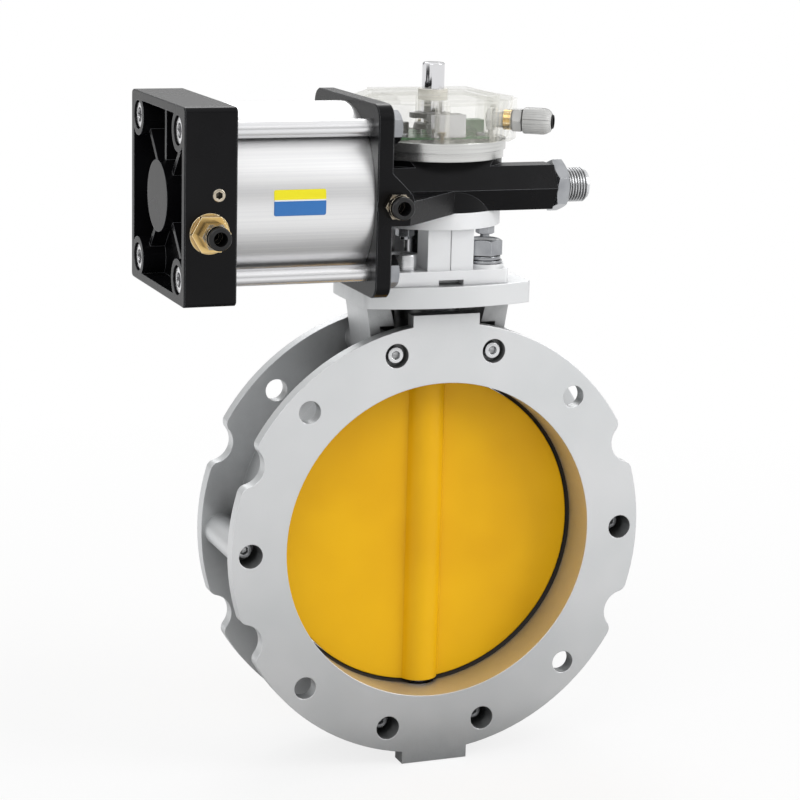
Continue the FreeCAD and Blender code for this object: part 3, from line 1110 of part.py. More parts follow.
def make_cylinder():
    """Piston, tube, end cap and tie bolts."""
    rim = "cylinder_bore_radius - clear_gap"
    seal_floor = f"{rim} - piston_seal_depth"
    guide_floor = f"{rim} - guide_ring_depth"
    seal_starts = ("3", "piston_length - 3 - piston_seal_width")
    guide_start = "(piston_length - guide_ring_width) / 2"
    at = ("-piston_place", "axis_depth", "axis_height", "x")
    profile = [("piston_bolt_head_radius + clear_gap", "0"), (rim, "0")]
    for start, width, floor in ((seal_starts[0], "piston_seal_width", seal_floor),
                                (guide_start, "guide_ring_width", guide_floor),
                                (seal_starts[1], "piston_seal_width", seal_floor)):
        profile += [(rim, start), (floor, start), (floor, f"{start} + {width}"),
                    (rim, f"{start} + {width}")]
    profile += [(rim, "piston_length"), ("piston_bolt_radius", "piston_length"),
                ("piston_bolt_radius", "piston_recess"),
                ("piston_bolt_head_radius + clear_gap", "piston_recess")]
    node(turned("piston", profile, *at))
    skin = "cylinder_bore_radius - running_gap"
    group("piston_seals", [turned(f"piston_seal_{k}", ring(f"{seal_floor} + fit_gap", skin, start,
                                                           f"{start} + piston_seal_width"), *at)
                           for k, start in enumerate(seal_starts, 1)])
    node(turned("piston_guide_ring", ring(guide_floor, skin, guide_start,
                                          f"{guide_start} + guide_ring_width"), *at))
    bolt = socket_screw("piston_bolt", "piston_bolt_radius",
                        "piston_length - piston_recess + piston_bolt_grip",
                        "piston_bolt_head_radius", "piston_bolt_head_height",
                        "piston_recess - piston_place", "axis_depth", "axis_height", "x")
    node(bolt)

    node(turned("cylinder_tube", ring("cylinder_bore_radius", "tube_radius", "0", "tube_length"),
                "-cap_inner", "axis_depth", "axis_height", "x"))
    seal = ring("cylinder_bore_radius - fit_gap - tube_seal_depth", "cylinder_bore_radius",
                "0", "tube_seal_width")
    shoulder = "(spigot_length - tube_seal_width) / 2"
    group("tube_seals", [turned(f"tube_seal_{k}", seal, x, "axis_depth", "axis_height", "x")
                         for k, x in enumerate((f"{shoulder} - cap_inner",
                                                f"-head_flange_place - spigot_length + {shoulder}"),
                                               1)])

    cap = body("end_cap")
    grow(cap, "XY", "0", [rounded("0", "0", "cap_half_width", "cap_half_width",
                                  "cap_corner_radius")], "cap_thickness")
    soften(cap, lambda edge: abs(edge.Vertexes[0].Z - edge.Vertexes[-1].Z) < 0.01, "edge_bevel",
           "Chamfer")
    cut(cap, "XY", "0", [rounded("0", "0", "cap_half_width - cap_rim", "cap_half_width - cap_rim",
                                 "cap_corner_radius")], "cap_pocket_depth")
    grow(cap, "XY", "0", [circle("0", "0", "cap_boss_radius")], "cap_pocket_depth")
    corners = [circle(f"{a} * tie_bolt_place", f"{b} * tie_bolt_place", "corner_boss_radius")
               for a, b in CORNERS]
    grow(cap, "XY", "0", corners, "cap_pocket_depth")
    ribs = [strip("0", "0", angle, "cap_boss_radius - 1", "tie_bolt_place / cos(45)",
                  "cap_rib_thickness / 2") for angle in (45, 135, 225, 315)]
    ribs.append(strip("0", "0", "180", "cap_boss_radius - 1", "cap_half_width - 1",
                      "cap_rib_thickness / 2"))
    grow(cap, "XY", "cap_rib_drop", ribs, "cap_pocket_depth - cap_rib_drop")
    port_up = "cap_outer - cap_port_place"
    grow(cap, "XZ", "-cap_half_width", [circle("cap_port_drop", port_up, "port_boss_radius")],
         "port_depth + 3")
    wells = [circle(f"{a} * tie_bolt_place", f"{b} * tie_bolt_place",
                    "tie_bolt_head_radius + clear_gap") for a, b in CORNERS]
    cut(cap, "XY", "0", wells, "tie_bolt_recess")
    ties = [circle(f"{a} * tie_bolt_place", f"{b} * tie_bolt_place", "tie_bolt_radius + fit_gap")
            for a, b in CORNERS]
    cut(cap, "XY", "0", ties, "cap_thickness")
    edge = "cylinder_bore_radius - fit_gap"
    tip = "cap_thickness + spigot_length"
    grow(cap, "XY", "cap_thickness", [circle("0", "0", f"{edge} - tube_seal_depth")],
         "spigot_length")
    grow(cap, "XY", "cap_thickness", [circle("0", "0", edge)], shoulder)
    grow(cap, "XY", tip, [circle("0", "0", edge)], shoulder, back=True)
    cut(cap, "XZ", "-cap_half_width", [circle("cap_port_drop", port_up,
                                              "port_hexagon_thread_radius")], "port_depth")
    passage = circle("cap_port_drop", "port_depth - cap_half_width - 1.5 * passage_radius",
                     "passage_radius")
    cut(cap, "XY", port_up, [passage], f"{tip} - ({port_up})")
    cut(cap, "XZ", "-cap_half_width", [circle("-bleed_rise", "cap_outer - bleed_place",
                                              "bleed_radius")], "bleed_length")
    node(place(cap, "-cap_outer", "axis_depth", "axis_height", "x"))

    bolts, nuts = [], []
    for k, (away, up) in enumerate(CORNERS, 1):
        y, z = f"axis_depth + {away} * tie_bolt_place", f"axis_height + {up} * tie_bolt_place"
        back = "head_flange_thickness - head_flange_place"
        bolts.append(socket_screw(f"tie_bolt_{k}", "tie_bolt_radius",
                                  f"cap_outer - tie_bolt_recess + {back} + tie_bolt_tail",
                                  "tie_bolt_head_radius", "tie_bolt_head_height",
                                  "tie_bolt_recess - cap_outer", y, z, "x"))
        nut = body(f"tie_nut_{k}")
        grow(nut, "XY", "0", [hexagon("tie_nut_flats"), circle("0", "0", "tie_bolt_radius")],
             "tie_nut_height")
        nuts.append(place(nut, back, y, z, "x"))
    group("tie_bolts", bolts)
    group("tie_nuts", nuts)

    nipple = body("end_nipple")
    spin(nipple, [("nipple_bore_radius", "-nipple_foot_length"),
                  ("rack_bore_radius - fit_gap", "-nipple_foot_length"),
                  ("rack_bore_radius - fit_gap", "0"),
                  ("nipple_radius", "0"), ("nipple_radius", "nut_width + nipple_length - 1.5"),
                  ("nipple_radius - 1.5", "nut_width + nipple_length"),
                  ("nipple_bore_radius", "nut_width + nipple_length")])
    grow(nipple, "XY", "0", [hexagon("nut_flats", turn="90 - nut_turn"),
                             circle("0", "0", "nipple_bore_radius")], "nut_width")
    node(place(nipple, "bar_reach", "axis_depth", "axis_height", "x"))


# Air fittings


def fitting(name, hexagon_height, x, y, z):
    """A push-in fitting and its release collar, seen from its mouth."""
    mouth = f"{hexagon_height} + fitting_neck_height"
    sleeve = "fitting_sleeve_radius + running_gap"
    room = "release_collar_sleeve - release_travel"
    socket = "air_tube_radius + running_gap"
    metal = body(name + "_fitting")
    spin(metal, [("fitting_bore_radius", "-fitting_thread_length"),
                 ("fitting_thread_radius", "-fitting_thread_length"),
                 ("fitting_thread_radius", "0"), ("fitting_neck_radius - 0.5", "0"),
                 ("fitting_neck_radius - 0.5", hexagon_height),
                 ("fitting_neck_radius", hexagon_height), ("fitting_neck_radius", mouth),
                 (sleeve, mouth), (sleeve, f"{mouth} - ({room}) - release_travel - clear_gap"),
                 (socket, f"{mouth} - ({room}) - release_travel - clear_gap"),
                 (socket, f"{mouth} - tube_stop_depth"),
                 ("fitting_bore_radius", f"{mouth} - tube_stop_depth")])
    grow(metal, "XY", "0", [hexagon("fitting_flats"), circle("0", "0", "fitting_neck_radius - 1")],
         hexagon_height)
    node(place(metal, x, y, z, "-y"))
    lip = f"{mouth} + release_travel + seat_gap"
    collar = turned(name + "_release_collar",
                    [(socket, f"{mouth} - ({room})"), ("fitting_sleeve_radius", f"{mouth} - ({room})"),
                     ("fitting_sleeve_radius", lip), ("release_collar_radius", lip),
                     ("release_collar_radius", f"{lip} + release_collar_height - 0.6"),
                     ("release_collar_radius - 0.6", f"{lip} + release_collar_height"),
                     (socket, f"{lip} + release_collar_height")], x, y, z, "-y")
    node(collar)


def make_fittings():
    """Both air connections and the small screw in the cap."""
    cap_at = ("-cap_port_place", "front_face", "axis_height - cap_port_drop")
    bushing = body("cap_port_bushing")
    grow(bushing, "XY", "0", [hexagon("port_hexagon_flats"),
                              circle("0", "0", "fitting_thread_radius")], "port_hexagon_height")
    grow(bushing, "XY", "0", [circle("0", "0", "port_flange_radius"),
                              circle("0", "0", "fitting_thread_radius")], "port_flange_thickness")
    grow(bushing, "XY", "0", [circle("0", "0", "port_hexagon_thread_radius"),
                              circle("0", "0", "fitting_thread_radius")],
         "port_hexagon_thread_length", back=True)
    node(place(bushing, *cap_at, "-y"))
    fitting("cap_port", "cap_fitting_height", cap_at[0], "front_face - port_hexagon_height",
            cap_at[2])
    fitting("head_port", "head_fitting_height", "-head_port_place", "front_face",
            "axis_height - head_port_drop")
    bleed = body("bleed_screw")
    spin(bleed, rod("bleed_radius", "-bleed_length", "0.6", "0.5"))
    cut(bleed, "XY", "0.6", [regular(6, "bleed_radius * 0.6")], "bleed_radius", back=True)
    node(place(bleed, "-bleed_place", "front_face", "axis_height + bleed_rise", "-y"))


# Switch box

POSTS = [(f"cover_post_circle * cos({k * 90} - cover_turn)",
          f"cover_post_circle * sin({k * 90} - cover_turn)") for k in range(4)]
BOARD_SPOTS = [(f"{east} * board_screw_x", f"{away} * board_screw_y") for east, away in CORNERS]
TURNS["gland"] = (FreeCAD.Rotation(FreeCAD.Vector(0, 0, 1), -22.5 - number("cover_turn"))
                  * FreeCAD.Rotation(FreeCAD.Vector(0, 1, 0), 90))


def octagon(radius):
    """The outline of the cover."""
    return regular(8, radius, turn="-cover_turn")


def pan_screw(name, length, x, y, z):
    """A small slotted screw with its seat at the place."""
    screw = body(name)
    spin(screw, [("0", f"-({length})"), ("small_screw_radius", f"-({length})"),
                 ("small_screw_radius", "0"), ("small_screw_head_radius", "0"),
                 ("small_screw_head_radius", "small_screw_head_height - 0.4"),
                 ("small_screw_head_radius - 0.4", "small_screw_head_height"),
                 ("0", "small_screw_head_height")])
    cut(screw, "XY", "small_screw_head_height",
        [rectangle("0", "0", "small_screw_head_radius + 1", "0.4")], "0.9", back=True)
    return place(screw, x, y, z)


def make_switch_box():
    """Round base and clear cover."""
    base = body("switch_base")
    grow(base, "XY", "0", [circle("0", "0", "switch_base_radius - switch_step")],
         "switch_base_height")
    grow(base, "XY", "switch_step_height", [circle("0", "0", "switch_base_radius")],
         "switch_base_height - switch_step_height")
    cut(base, "XY", "switch_base_height", [circle("0", "0", "switch_base_radius - switch_base_wall")],
        "switch_base_height - switch_base_floor", back=True)
    grow(base, "XY", "0", [circle(x, y, "cover_post_radius") for x, y in POSTS],
         "switch_base_height")
    grow(base, "XY", "0", [circle(x, y, "post_radius") for x, y in BOARD_SPOTS],
         "switch_base_height")
    cut(base, "XY", "0", [circle("0", "0", "base_bore_radius")], "switch_base_floor")
    pilots = [circle(x, y, "small_screw_radius") for x, y in POSTS + BOARD_SPOTS]
    cut(base, "XY", "switch_base_height", pilots, "switch_base_height - 2", back=True)
    floor_holes = [circle(f"base_screw_circle * cos({a})", f"base_screw_circle * sin({a})",
                          "small_screw_radius + fit_gap") for a in BASE_SCREW_ANGLES]
    cut(base, "XY", "0", floor_holes, "switch_base_floor")
    node(place(base, y="stem_depth", z="housing_top"))

    cover = body("cover_shell")
    grow(cover, "XY", "0", [octagon("cover_corner_radius")], "cover_height", slope="cover_flare")
    grow(cover, "XY", "cover_height", [rounded("0", "0", "platform_half_width",
                                               "platform_half_depth", "3")], "platform_height")
    cut(cover, "XY", "0", [octagon("cover_corner_radius - cover_wall / cos(22.5)")],
        "cover_height - cover_wall", slope="cover_flare")
    cut(cover, "XY", "0", [rounded("0", "0", "platform_half_width - cover_wall",
                                   "platform_half_depth - cover_wall", "2")],
        "cover_height + platform_height - cover_wall")
    grow(cover, "XY", "0", [circle(x, y, "cover_post_radius") for x, y in POSTS],
         "cover_height - 1")
    pad = strip("0", "0", "-22.5 - cover_turn", "gland_inner", "gland_face",
                "gland_pad_half_width")
    grow(cover, "XY", "0", [pad], "cover_height")
    cut(cover, "XY", "cover_height + platform_height",
        [circle(x, y, "small_screw_head_radius + fit_gap") for x, y in POSTS],
        "cover_height + platform_height - cover_post_floor", back=True)
    cut(cover, "XY", "0", [circle(x, y, "small_screw_radius + fit_gap") for x, y in POSTS],
        "cover_post_floor")
    cut(cover, "XY", "cover_height + platform_height",
        [circle("0", "0", "spindle_radius + spindle_bush_wall")], "2 * cover_wall", back=True)
    gland_hole = body("gland_hole")
    spin(gland_hole, [("0", "-20"), ("gland_thread_radius", "-20"),
                      ("gland_thread_radius", "5"), ("0", "5")])
    place(gland_hole, "gland_face * cos(22.5 + cover_turn)",
          "-gland_face * sin(22.5 + cover_turn)", "gland_height", "gland")
    bored = combine("Cut", "switch_cover", [cover, gland_hole])
    node(place(bored, y="stem_depth", z="base_top"))
    spots = [(x, f"stem_depth + {y}", f"base_top + cover_post_floor") for x, y in POSTS]
    group("cover_screws", [pan_screw(f"cover_screw_{k}", "cover_post_floor + 8", *spot)
                           for k, spot in enumerate(spots, 1)])
    group("base_screws", [pan_screw(f"base_screw_{k}", "switch_base_floor + 6",
                                    f"base_screw_circle * cos({a})",
                                    f"stem_depth + base_screw_circle * sin({a})",
                                    "housing_top + switch_base_floor")
                          for k, a in enumerate(BASE_SCREW_ANGLES, 1)])


def make_gland():
    """Cable gland, its nut and the lock nut inside the cover."""
    at = ("gland_face * cos(22.5 + cover_turn)",
          "stem_depth - gland_face * sin(22.5 + cover_turn)", "gland_level", "gland")
    gland = body("gland_body")
    grow(gland, "XY", "0", [hexagon("gland_flats", turn="90"), circle("0", "0", "gland_bore_radius")],
         "gland_flange")
    thread = [circle("0", "0", "gland_thread_radius"), circle("0", "0", "gland_bore_radius")]
    grow(gland, "XY", "0", thread, "gland_face - gland_inner + gland_locknut_height + 1", back=True)
    grow(gland, "XY", "gland_flange", thread, "gland_nut_length - 2")
    node(place(gland, *at))
    foot = "gland_flange"
    top = "gland_flange + gland_nut_length"
    node(turned("gland_nut", [("gland_thread_radius", foot), ("gland_nut_radius", foot),
                              ("gland_nut_radius", top),
                              ("gland_nut_radius - 0.6", f"{top} + gland_dome_length * 0.4"),
                              ("gland_nut_radius - 1.8", f"{top} + gland_dome_length * 0.8"),
                              ("gland_nut_radius - 3", f"{top} + gland_dome_length"),
                              ("gland_bore_radius", f"{top} + gland_dome_length"),
                              ("gland_bore_radius", f"{top} - 2"),
                              ("gland_thread_radius", f"{top} - 2")], *at))
    lock = body("gland_locknut")
    grow(lock, "XY", "gland_inner - gland_face", [hexagon("gland_flats", turn="90"),
                                                  circle("0", "0", "gland_thread_radius")],
         "gland_locknut_height", back=True)
    node(place(lock, *at))


def make_spindle():
    """The indicator spindle with its bush and two cams."""
    spindle = body("indicator_spindle")
    spin(spindle, [("0", "shaft_top - spindle_pin_length"),
                   ("spindle_pin_radius", "shaft_top - spindle_pin_length"),
                   ("spindle_pin_radius", "shaft_top"), ("spindle_radius", "shaft_top"),
                   ("spindle_radius", "spindle_top - 0.8"), ("spindle_radius - 0.8", "spindle_top"),
                   ("0", "spindle_top")])
    cut(spindle, "XY", "spindle_top", [rectangle("0", "0", "spindle_radius + 1", "0.8")], "2",
        back=True)
    node(place(spindle, y="stem_depth"))
    node(turned("spindle_bush", ring("spindle_radius + running_gap",
                                     "spindle_radius + spindle_bush_wall",
                                     "cover_top + platform_height - 2 * cover_wall",
                                     "platform_top + 1.5"), y="stem_depth"))
    cams = []
    for k, middle in enumerate((270, 180)):
        cam = body(f"switch_cam_{k + 1}")
        level = f"cam_level + {k} * cam_pitch"
        grow(cam, "XY", level, [circle("0", "0", "cam_radius")], "cam_height")
        grow(cam, "XY", level, [sector("cam_lobe_radius", f"{middle} - cam_lobe_angle / 2",
                                       f"{middle} + cam_lobe_angle / 2")], "cam_height")
        cut(cam, "XY", level, [circle("0", "0", "spindle_radius")], "cam_height")
        cams.append(place(cam, y="stem_depth"))
    group("switch_cams", cams)


def make_switches():
    """The board with its terminals, the two switches, their sheet and levers."""
    board = body("circuit_board")
    grow(board, "XY", "board_level",
         [rounded("0", "0", "board_half_width", "board_half_depth", "3"),
          circle("0", "0", "spindle_radius + clear_gap")]
         + [circle(x, y, "small_screw_radius + fit_gap") for x, y in BOARD_SPOTS],
         "board_thickness")
    node(place(board, y="stem_depth"))
    group("board_screws", [pan_screw(f"board_screw_{k}", "6", x, f"stem_depth + {y}", "board_top")
                           for k, (x, y) in enumerate(BOARD_SPOTS, 1)])
    block = body("terminal_block")
    middle = ("terminal_x", "terminal_y")
    grow(block, "XY", "board_top", [rectangle(*middle, "terminal_half_width",
                                              "terminal_half_depth")], "terminal_height")
    ways = [circle(f"terminal_x + {k} * terminal_half_width / 2", "terminal_y - 1.5", "1.3")
            for k in (-1.2, 0, 1.2)]
    cut(block, "XY", "board_top + terminal_height", ways, "2", back=True)
    wires = [rectangle(f"terminal_x + {k} * terminal_half_width / 2", "board_top + 3", "1.2", "1.5")
             for k in (-1.2, 0, 1.2)]
    cut(block, "XZ", "terminal_y + terminal_half_depth", wires, "3", back=True)
    node(place(block, y="stem_depth"))

    sheet = body("switch_plate")
    behind = "0 - switch_place - switch_depth - switch_plate_thickness"
    half = "(switch_length / 2 + 1)"
    grow(sheet, "XZ", behind, [polygon([(f"0 - {half}", "board_top"), (half, "board_top"),
                                        (half, "switch_stack_top"), (f"0 - {half}",
                                                                     "switch_stack_top")])],
         "switch_plate_thickness")
    node(place(sheet, y="stem_depth"))
    switches, floor = [], "cam_level + cam_height / 2 - switch_height / 2"
    for k in (0, 1):
        switch = body(f"microswitch_{k + 1}")
        grow(switch, "XY", f"{floor} + {k} * cam_pitch",
             [rectangle("0", "0 - switch_place - switch_depth / 2", "switch_length / 2",
                        "switch_depth / 2")], "switch_height")
        low = f"cam_level + {k} * cam_pitch + lever_side_gap - 0.1"
        high = f"cam_level + {k} * cam_pitch + cam_height - lever_side_gap + 0.1"
        ear = [rectangle("lever_end", "(lever_middle + lever_eye_radius - switch_place) / 2",
                         "lever_eye_radius",
                         "(lever_middle + lever_eye_radius + switch_place) / 2")]
        grow(switch, "XY", low, ear, "lever_ear_thickness", back=True)
        grow(switch, "XY", high, ear, "lever_ear_thickness")
        grow(switch, "XY", low, [circle("lever_end", "lever_middle", "lever_pin_radius")],
             "cam_height - 2 * lever_side_gap + 0.2")
        switches.append(place(switch, y="stem_depth"))
    group("microswitches", switches)
    for k, name in enumerate(("switch_lever_closed", "switch_lever_open")):
        lever = body(name)
        level, width = f"cam_level + {k} * cam_pitch + lever_side_gap", "cam_height - 2 * lever_side_gap"
        far = "lever_end + lever_length"
        back, near = "0 - lever_place", "lever_thickness - lever_place"
        crest = "0 - cam_lobe_radius - clear_gap"
        grow(lever, "XY", level, [polygon([("lever_end", back), (far, back), (far, near),
                                           (f"{far} - 6", near), ("1.5", crest), ("-1.5", crest),
                                           ("-2.5", near), ("lever_end", near)])], width)
        grow(lever, "XY", level, [circle("lever_end", "lever_middle", "lever_eye_radius")], width)
        cut(lever, "XY", level, [circle("lever_end", "lever_middle",
                                        "lever_pin_radius + running_gap")], width)
        node(place(lever, y="stem_depth"))


make_valve_body()
make_disc()
make_bracket()
make_gear_housing()
make_pinion()
make_rack()
make_cylinder()
make_fittings()
make_switch_box()
make_gland()
make_spindle()
make_switches()
DOC.recompute()

for thing in DOC.Objects:
    if "Invalid" in thing.State or "Error" in thing.State:
        raise RuntimeError(f"{thing.Name} did not build")
os.makedirs("parts", exist_ok=True)
for piece in NODES:
    if piece.Shape.isNull() or not piece.Shape.isValid():
        raise RuntimeError(f"{piece.Label} has no sound shape")
    piece.Shape.exportStep(f"parts/{piece.Label}.step")
print(len(NODES), "sub-parts written")
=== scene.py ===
# %% [markdown]
# # Dressing a pneumatic butterfly valve
# The valve comes in finished from CAD: a split aluminium body, a golden disc,
# a black rack and pinion casting, an air cylinder and a clear switch box.
# Blender never moves those pieces. It gives each one a surface, adds the small
# things that are easier to model here, and sets camera, light and floor.

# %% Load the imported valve
from math import atan2, cos, degrees, radians

import bmesh
import bpy
from mathutils import Euler, Matrix, Vector


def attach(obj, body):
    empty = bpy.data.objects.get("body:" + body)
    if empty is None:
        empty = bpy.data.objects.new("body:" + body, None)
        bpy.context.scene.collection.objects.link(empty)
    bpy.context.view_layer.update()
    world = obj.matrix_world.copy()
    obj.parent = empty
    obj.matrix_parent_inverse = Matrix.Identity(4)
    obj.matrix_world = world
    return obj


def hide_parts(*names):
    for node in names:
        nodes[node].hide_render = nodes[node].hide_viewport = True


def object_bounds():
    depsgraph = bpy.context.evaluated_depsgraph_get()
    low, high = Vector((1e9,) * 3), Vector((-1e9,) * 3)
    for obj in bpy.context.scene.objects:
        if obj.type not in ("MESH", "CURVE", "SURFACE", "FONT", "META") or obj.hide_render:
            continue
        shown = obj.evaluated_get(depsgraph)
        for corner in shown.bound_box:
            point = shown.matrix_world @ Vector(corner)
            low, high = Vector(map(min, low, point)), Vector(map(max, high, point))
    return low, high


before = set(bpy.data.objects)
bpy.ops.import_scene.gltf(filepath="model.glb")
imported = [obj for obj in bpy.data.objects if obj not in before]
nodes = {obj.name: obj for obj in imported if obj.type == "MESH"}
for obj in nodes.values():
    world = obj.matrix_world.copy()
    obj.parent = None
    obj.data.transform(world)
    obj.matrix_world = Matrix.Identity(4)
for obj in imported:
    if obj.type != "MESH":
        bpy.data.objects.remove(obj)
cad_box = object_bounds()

print(len(nodes), "CAD pieces, box", [[round(c, 4) for c in corner] for corner in cad_box])

# %% [markdown]
# ## Colours as they look on screen
# Shader colours are linear, but the colours given here are in display values.
# One small function turns 0 to 255 display values into linear ones, so every
# finish below can be read as the shade that it should show.

# %% Display colour to linear colour
def shade(red, green, blue):
    """Display values from 0 to 255 as a linear colour with alpha 1."""
    parts = [value / 255 for value in (red, green, blue)]
    return [p / 12.92 if p < 0.04045 else ((p + 0.055) / 1.055) ** 2.4 for p in parts] + [1.0]


print("mid grey is", round(shade(128, 128, 128)[0], 3), "in linear light")

# %% [markdown]
# ## Node groups for effects that several finishes share
# Cast metal, paint, rubber and moulded plastic all have a fine skin of bumps
# and slow changes of tone. A node group holds such an effect once. Each
# material places it with its own scale and strength. The groups read Object
# coordinates, which stay fixed on the valve from every side.

# %% Helpers to lay out nodes
def new_group(name, inputs, outputs):
    """An empty shader node group with named float sockets."""
    group = bpy.data.node_groups.new(name, "ShaderNodeTree")
    for label, value in inputs.items():
        kind = "NodeSocketVector" if isinstance(value, tuple) else "NodeSocketFloat"
        group.interface.new_socket(label, in_out="INPUT", socket_type=kind).default_value = value
    for label in outputs:
        group.interface.new_socket(label, in_out="OUTPUT", socket_type="NodeSocketFloat")
    return group, group.nodes.new("NodeGroupInput"), group.nodes.new("NodeGroupOutput")


def object_place(tree):
    """The Object coordinates of the point that is being shaded."""
    return tree.nodes.new("ShaderNodeTexCoord").outputs["Object"]


def noise(tree, vector, scale, detail=3.0, rough=0.55):
    """A noise texture whose scale may be a number or a socket."""
    node = tree.nodes.new("ShaderNodeTexNoise")
    node.inputs["Detail"].default_value = detail
    node.inputs["Roughness"].default_value = rough
    tree.links.new(vector, node.inputs["Vector"])
    if isinstance(scale, (int, float)):
        node.inputs["Scale"].default_value = scale
    else:
        tree.links.new(scale, node.inputs["Scale"])
    return node.outputs["Fac"]


def maths(tree, operation, a, b, clamp=False):
    """One Math node on sockets or numbers."""
    node = tree.nodes.new("ShaderNodeMath")
    node.operation, node.use_clamp = operation, clamp
    for socket, value in zip(node.inputs, (a, b)):
        if isinstance(value, (int, float)):
            socket.default_value = value
        else:
            tree.links.new(value, socket)
    return node.outputs[0]


# %% The grained skin of castings, coatings and mouldings
grain, enter, leave = new_group("Grained skin", {"Scale": 600.0, "Tone": 40.0},
                                ["Height", "Patches"])
place = object_place(grain)
grain.links.new(noise(grain, place, enter.outputs["Scale"], 4.0), leave.inputs["Height"])
grain.links.new(noise(grain, place, enter.outputs["Tone"], 2.0), leave.inputs["Patches"])
print("group", grain.name)

# %% [markdown]
# Drawn, ground and turned metal carries fine lines. Stretching the coordinates
# along one axis before a noise texture draws such lines: a small factor along
# the drawing direction, large ones across it.

# %% The drawn lines of tube and bar
lines, enter, leave = new_group("Drawn lines", {"Stretch": (20.0, 900.0, 900.0)},
                                ["Height", "Streaks"])
stretched = lines.nodes.new("ShaderNodeVectorMath")
stretched.operation = "MULTIPLY"
lines.links.new(object_place(lines), stretched.inputs[0])
lines.links.new(enter.outputs["Stretch"], stretched.inputs[1])
lines.links.new(noise(lines, stretched.outputs[0], 1.0, 2.0), leave.inputs["Height"])
lines.links.new(noise(lines, stretched.outputs[0], 0.35, 3.0), leave.inputs["Streaks"])
print("group", lines.name)

# %% [markdown]
# Real edges are never perfectly sharp. They catch a thin line of light, and on
# a coated casting they rub bare. The Bevel node gives the normal that a small
# rounding would have. Used as the normal it rounds every CAD edge to the eye,
# and where it differs from the true normal it marks the edge for a lighter
# colour, which is partly wear and partly a painted highlight along the edge. A
# noise breaks the mark up, so that it looks rubbed and not drawn.

# %% The worn and rounded edge, with a painted edge highlight
edges, enter, leave = new_group("Worn edges and painted highlight", {"Radius": 0.0005, "Gain": 8.0}, ["Edge"])
edges.interface.new_socket("Rounded", in_out="OUTPUT", socket_type="NodeSocketVector")
rounding = edges.nodes.new("ShaderNodeBevel")
rounding.samples = 6
edges.links.new(enter.outputs["Radius"], rounding.inputs["Radius"])
plain = edges.nodes.new("ShaderNodeNewGeometry")
compare = edges.nodes.new("ShaderNodeVectorMath")
compare.operation = "DOT_PRODUCT"
edges.links.new(rounding.outputs["Normal"], compare.inputs[0])
edges.links.new(plain.outputs["Normal"], compare.inputs[1])
# The edge mask carries wear and a painted highlight along every edge.
differ = maths(edges, "SUBTRACT", 1.0, compare.outputs["Value"])
scratchy = noise(edges, object_place(edges), 260.0, 2.0)
broken = maths(edges, "ADD", maths(edges, "MULTIPLY", scratchy, 0.8), 0.5)
marked = maths(edges, "MULTIPLY", maths(edges, "MULTIPLY", differ, enter.outputs["Gain"]), broken,
               clamp=True)
edges.links.new(marked, leave.inputs["Edge"])
edges.links.new(rounding.outputs["Normal"], leave.inputs["Rounded"])
print("group", edges.name)

# %% [markdown]
# Shade falls in counterbores, sockets and the corner between two walls, and
# there it is painted into the colour as well. The Ambient Occlusion node
# measures how closed in a point is, within the reach it is given, and a noise
# keeps the painted shade from being too even.

# %% Painted shade in the corners
# Painted shade: occlusion darkens the colour in hollows and corners.
shade_in_corners, enter, leave = new_group("Painted shade in corners", {"Reach": 0.006, "Amount": 0.5}, ["Mask"])
MOST_PAINTED_SHADE = 0.92
closed = shade_in_corners.nodes.new("ShaderNodeAmbientOcclusion")
closed.samples = 8
shade_in_corners.links.new(enter.outputs["Reach"], closed.inputs["Distance"])
patchy = maths(shade_in_corners, "MULTIPLY", noise(shade_in_corners, object_place(shade_in_corners), 140.0), 0.5)
patchy = maths(shade_in_corners, "ADD", patchy, 0.75)
shut = maths(shade_in_corners, "SUBTRACT", 1.0, closed.outputs["AO"])
darkened = maths(shade_in_corners, "MULTIPLY", maths(shade_in_corners, "MULTIPLY", shut, patchy), enter.outputs["Amount"])
shade_in_corners.links.new(maths(shade_in_corners, "MINIMUM", darkened, MOST_PAINTED_SHADE), leave.inputs["Mask"])
print("group", shade_in_corners.name)

# %% [markdown]
# ## One function for all opaque finishes
# Every opaque finish is a Principled shader between a lighter and a darker
# tone, with a base roughness that the effect varies a little, and a shallow
# bump. Numbers that are the same all over stay on the shader's own sockets.

# %% Helpers inside a material
def new_material(name):
    """A material, its node tree and its Principled shader."""
    material = bpy.data.materials.new(name)
    material.use_nodes = True
    return material, material.node_tree, material.node_tree.nodes["Principled BSDF"]


def placed(tree, group, settings):
    """A node that holds one of the groups, with values on its inputs."""
    node = tree.nodes.new("ShaderNodeGroup")
    node.node_tree = group
    for label, value in settings.items():
        node.inputs[label].default_value = value
    return node


def toned(tree, share, dark, light, low=0.35, high=0.65):
    """A Color Ramp from a dark tone to a light one."""
    ramp = tree.nodes.new("ShaderNodeValToRGB")
    first, last = ramp.color_ramp.elements
    first.position, last.position = low, high
    first.color, last.color = dark, light
    tree.links.new(share, ramp.inputs["Fac"])
    return ramp.outputs["Color"]


def blended(tree, share, first, second):
    """A Mix node for colours. Each colour may be a socket or a plain colour."""
    node = tree.nodes.new("ShaderNodeMix")
    node.data_type = "RGBA"
    factor, a, b = [socket for socket in node.inputs if socket.enabled]
    for socket, value in ((factor, share), (a, first), (b, second)):
        if isinstance(value, bpy.types.NodeSocket):
            tree.links.new(value, socket)
        else:
            socket.default_value = value
    return next(socket for socket in node.outputs if socket.enabled)


# %% Build an opaque finish and give it to pieces
# Painted shade: the colour that corners and recesses darken towards.
PAINTED_SHADE_COLOUR = shade(18, 18, 19)
BUMP_DEPTH = 0.0003


